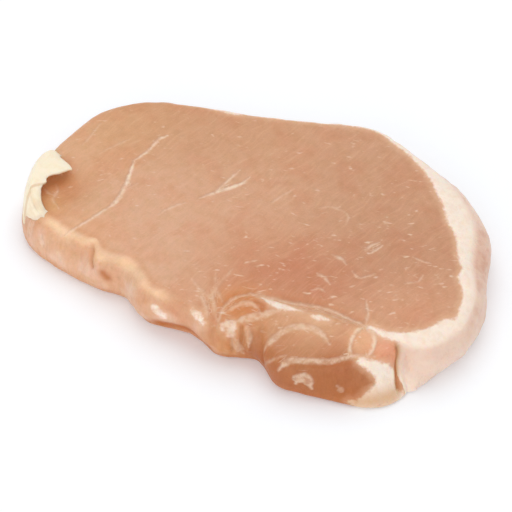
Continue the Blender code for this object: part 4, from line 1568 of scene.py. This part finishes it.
@dataclass
class Studio:
    """A plain white sweep, a large soft light overhead, a weaker one in front, and a white surround."""

    shift: np.ndarray  # from the sketch's frame to the part's
    floor_mm: float = 6000.0
    surround: float = 0.72
    softboxes: tuple[Softbox, ...] = (
        Softbox("overhead_softbox", 900.0, 2.8, (-150.0, 350.0, 900.0)),
        Softbox("front_softbox", 1200.0, 5.0, (150.0, -1300.0, 520.0)),
    )
    aim: tuple[float, float, float] = (3.0, -8.8, 8.0)
    back: tuple[float, float, float] = (0.2933, -0.6014, 0.7431)
    distance: float = 862.9
    lens: float = 200.0
    sensor: float = 36.0
    clip: tuple[float, float] = (0.01, 20.0)

    def build(self) -> None:
        """Makes the floor, the lights and the camera."""
        self.build_floor()
        self.build_lights()
        self.build_camera()

    def build_floor(self) -> None:
        """Makes the floor."""
        half = self.floor_mm / 2 * MM
        mesh = bpy.data.meshes.new("studio_floor")
        corners = [(-half, -half, 0), (half, -half, 0), (half, half, 0), (-half, half, 0)]
        mesh.from_pydata(corners, [], [(0, 1, 2, 3)])
        mesh.materials.append(WhiteAcrylic().material())
        in_scene(bpy.data.objects.new("studio_floor", mesh))

    def build_lights(self) -> None:
        """Makes the surround and the soft lights."""
        world = bpy.data.worlds.new("white_surround")
        world.use_nodes = True
        surround = world.node_tree.nodes["Background"]
        surround.inputs["Color"].default_value = (1.0, 1.0, 1.0, 1.0)
        surround.inputs["Strength"].default_value = self.surround
        bpy.context.scene.world = world
        for box in self.softboxes:
            lamp = bpy.data.lights.new(box.name, "AREA")
            lamp.size = box.side_mm * MM
            lamp.energy = box.watts
            softbox = in_scene(bpy.data.objects.new(box.name, lamp))
            softbox.location = Vector(box.at_mm) * MM
            softbox.rotation_euler = softbox.location.to_track_quat("Z", "Y").to_euler()

    def build_camera(self) -> None:
        """Makes the camera, which looks down on the slice from the front right."""
        lens = bpy.data.cameras.new("camera")
        lens.lens = self.lens
        lens.sensor_width = self.sensor
        lens.clip_start, lens.clip_end = self.clip
        camera = in_scene(bpy.data.objects.new("camera", lens))
        back = Vector(self.back).normalized()
        camera.location = (Vector(self.aim) + Vector(self.shift) + back * self.distance) * MM
        camera.rotation_euler = back.to_track_quat("Z", "Y").to_euler()
        bpy.context.scene.camera = camera
        bpy.context.scene.view_settings.view_transform = "Standard"


def into_part(*sheets: Sheet) -> np.ndarray:
    """Works out the way from the sketch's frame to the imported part's.

    Args:
        *sheets: all the meshes that are built round the part.

    Returns:
        The shift in mm.
    """
    low, high = (np.array(corner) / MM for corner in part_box(NODE))
    points = np.vstack([sheet.points for sheet in sheets])
    middle = (points.min(axis=0) + points.max(axis=0)) / 2
    return np.array([*((low + high) / 2 - middle)[:2], 0.0])


def main() -> None:
    """Builds the pieces and the studio."""
    logging.basicConfig(level=logging.INFO, format="%(name)s: %(message)s")
    outline = Outline()
    body_sheet, body_paint = SliceBody(outline).build()
    fold_sheet, fold_paint = FoldedFat(outline).build()
    shift = into_part(body_sheet, fold_sheet)
    body = body_sheet.to_object("loin_and_rim", shift, body_paint)
    body.data.materials.append(RawPork().material())
    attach(body, "root")
    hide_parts(NODE)
    LOG.info("loin_and_rim: %d faces", len(body_sheet.faces))
    fold = fold_sheet.to_object("folded_fat", shift, fold_paint)
    fold.data.materials.append(PorkFat().material())
    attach(fold, "root")
    LOG.info("folded_fat: %d faces", len(fold_sheet.faces))
    Studio(shift).build()


if __name__ == "__main__":
    main()
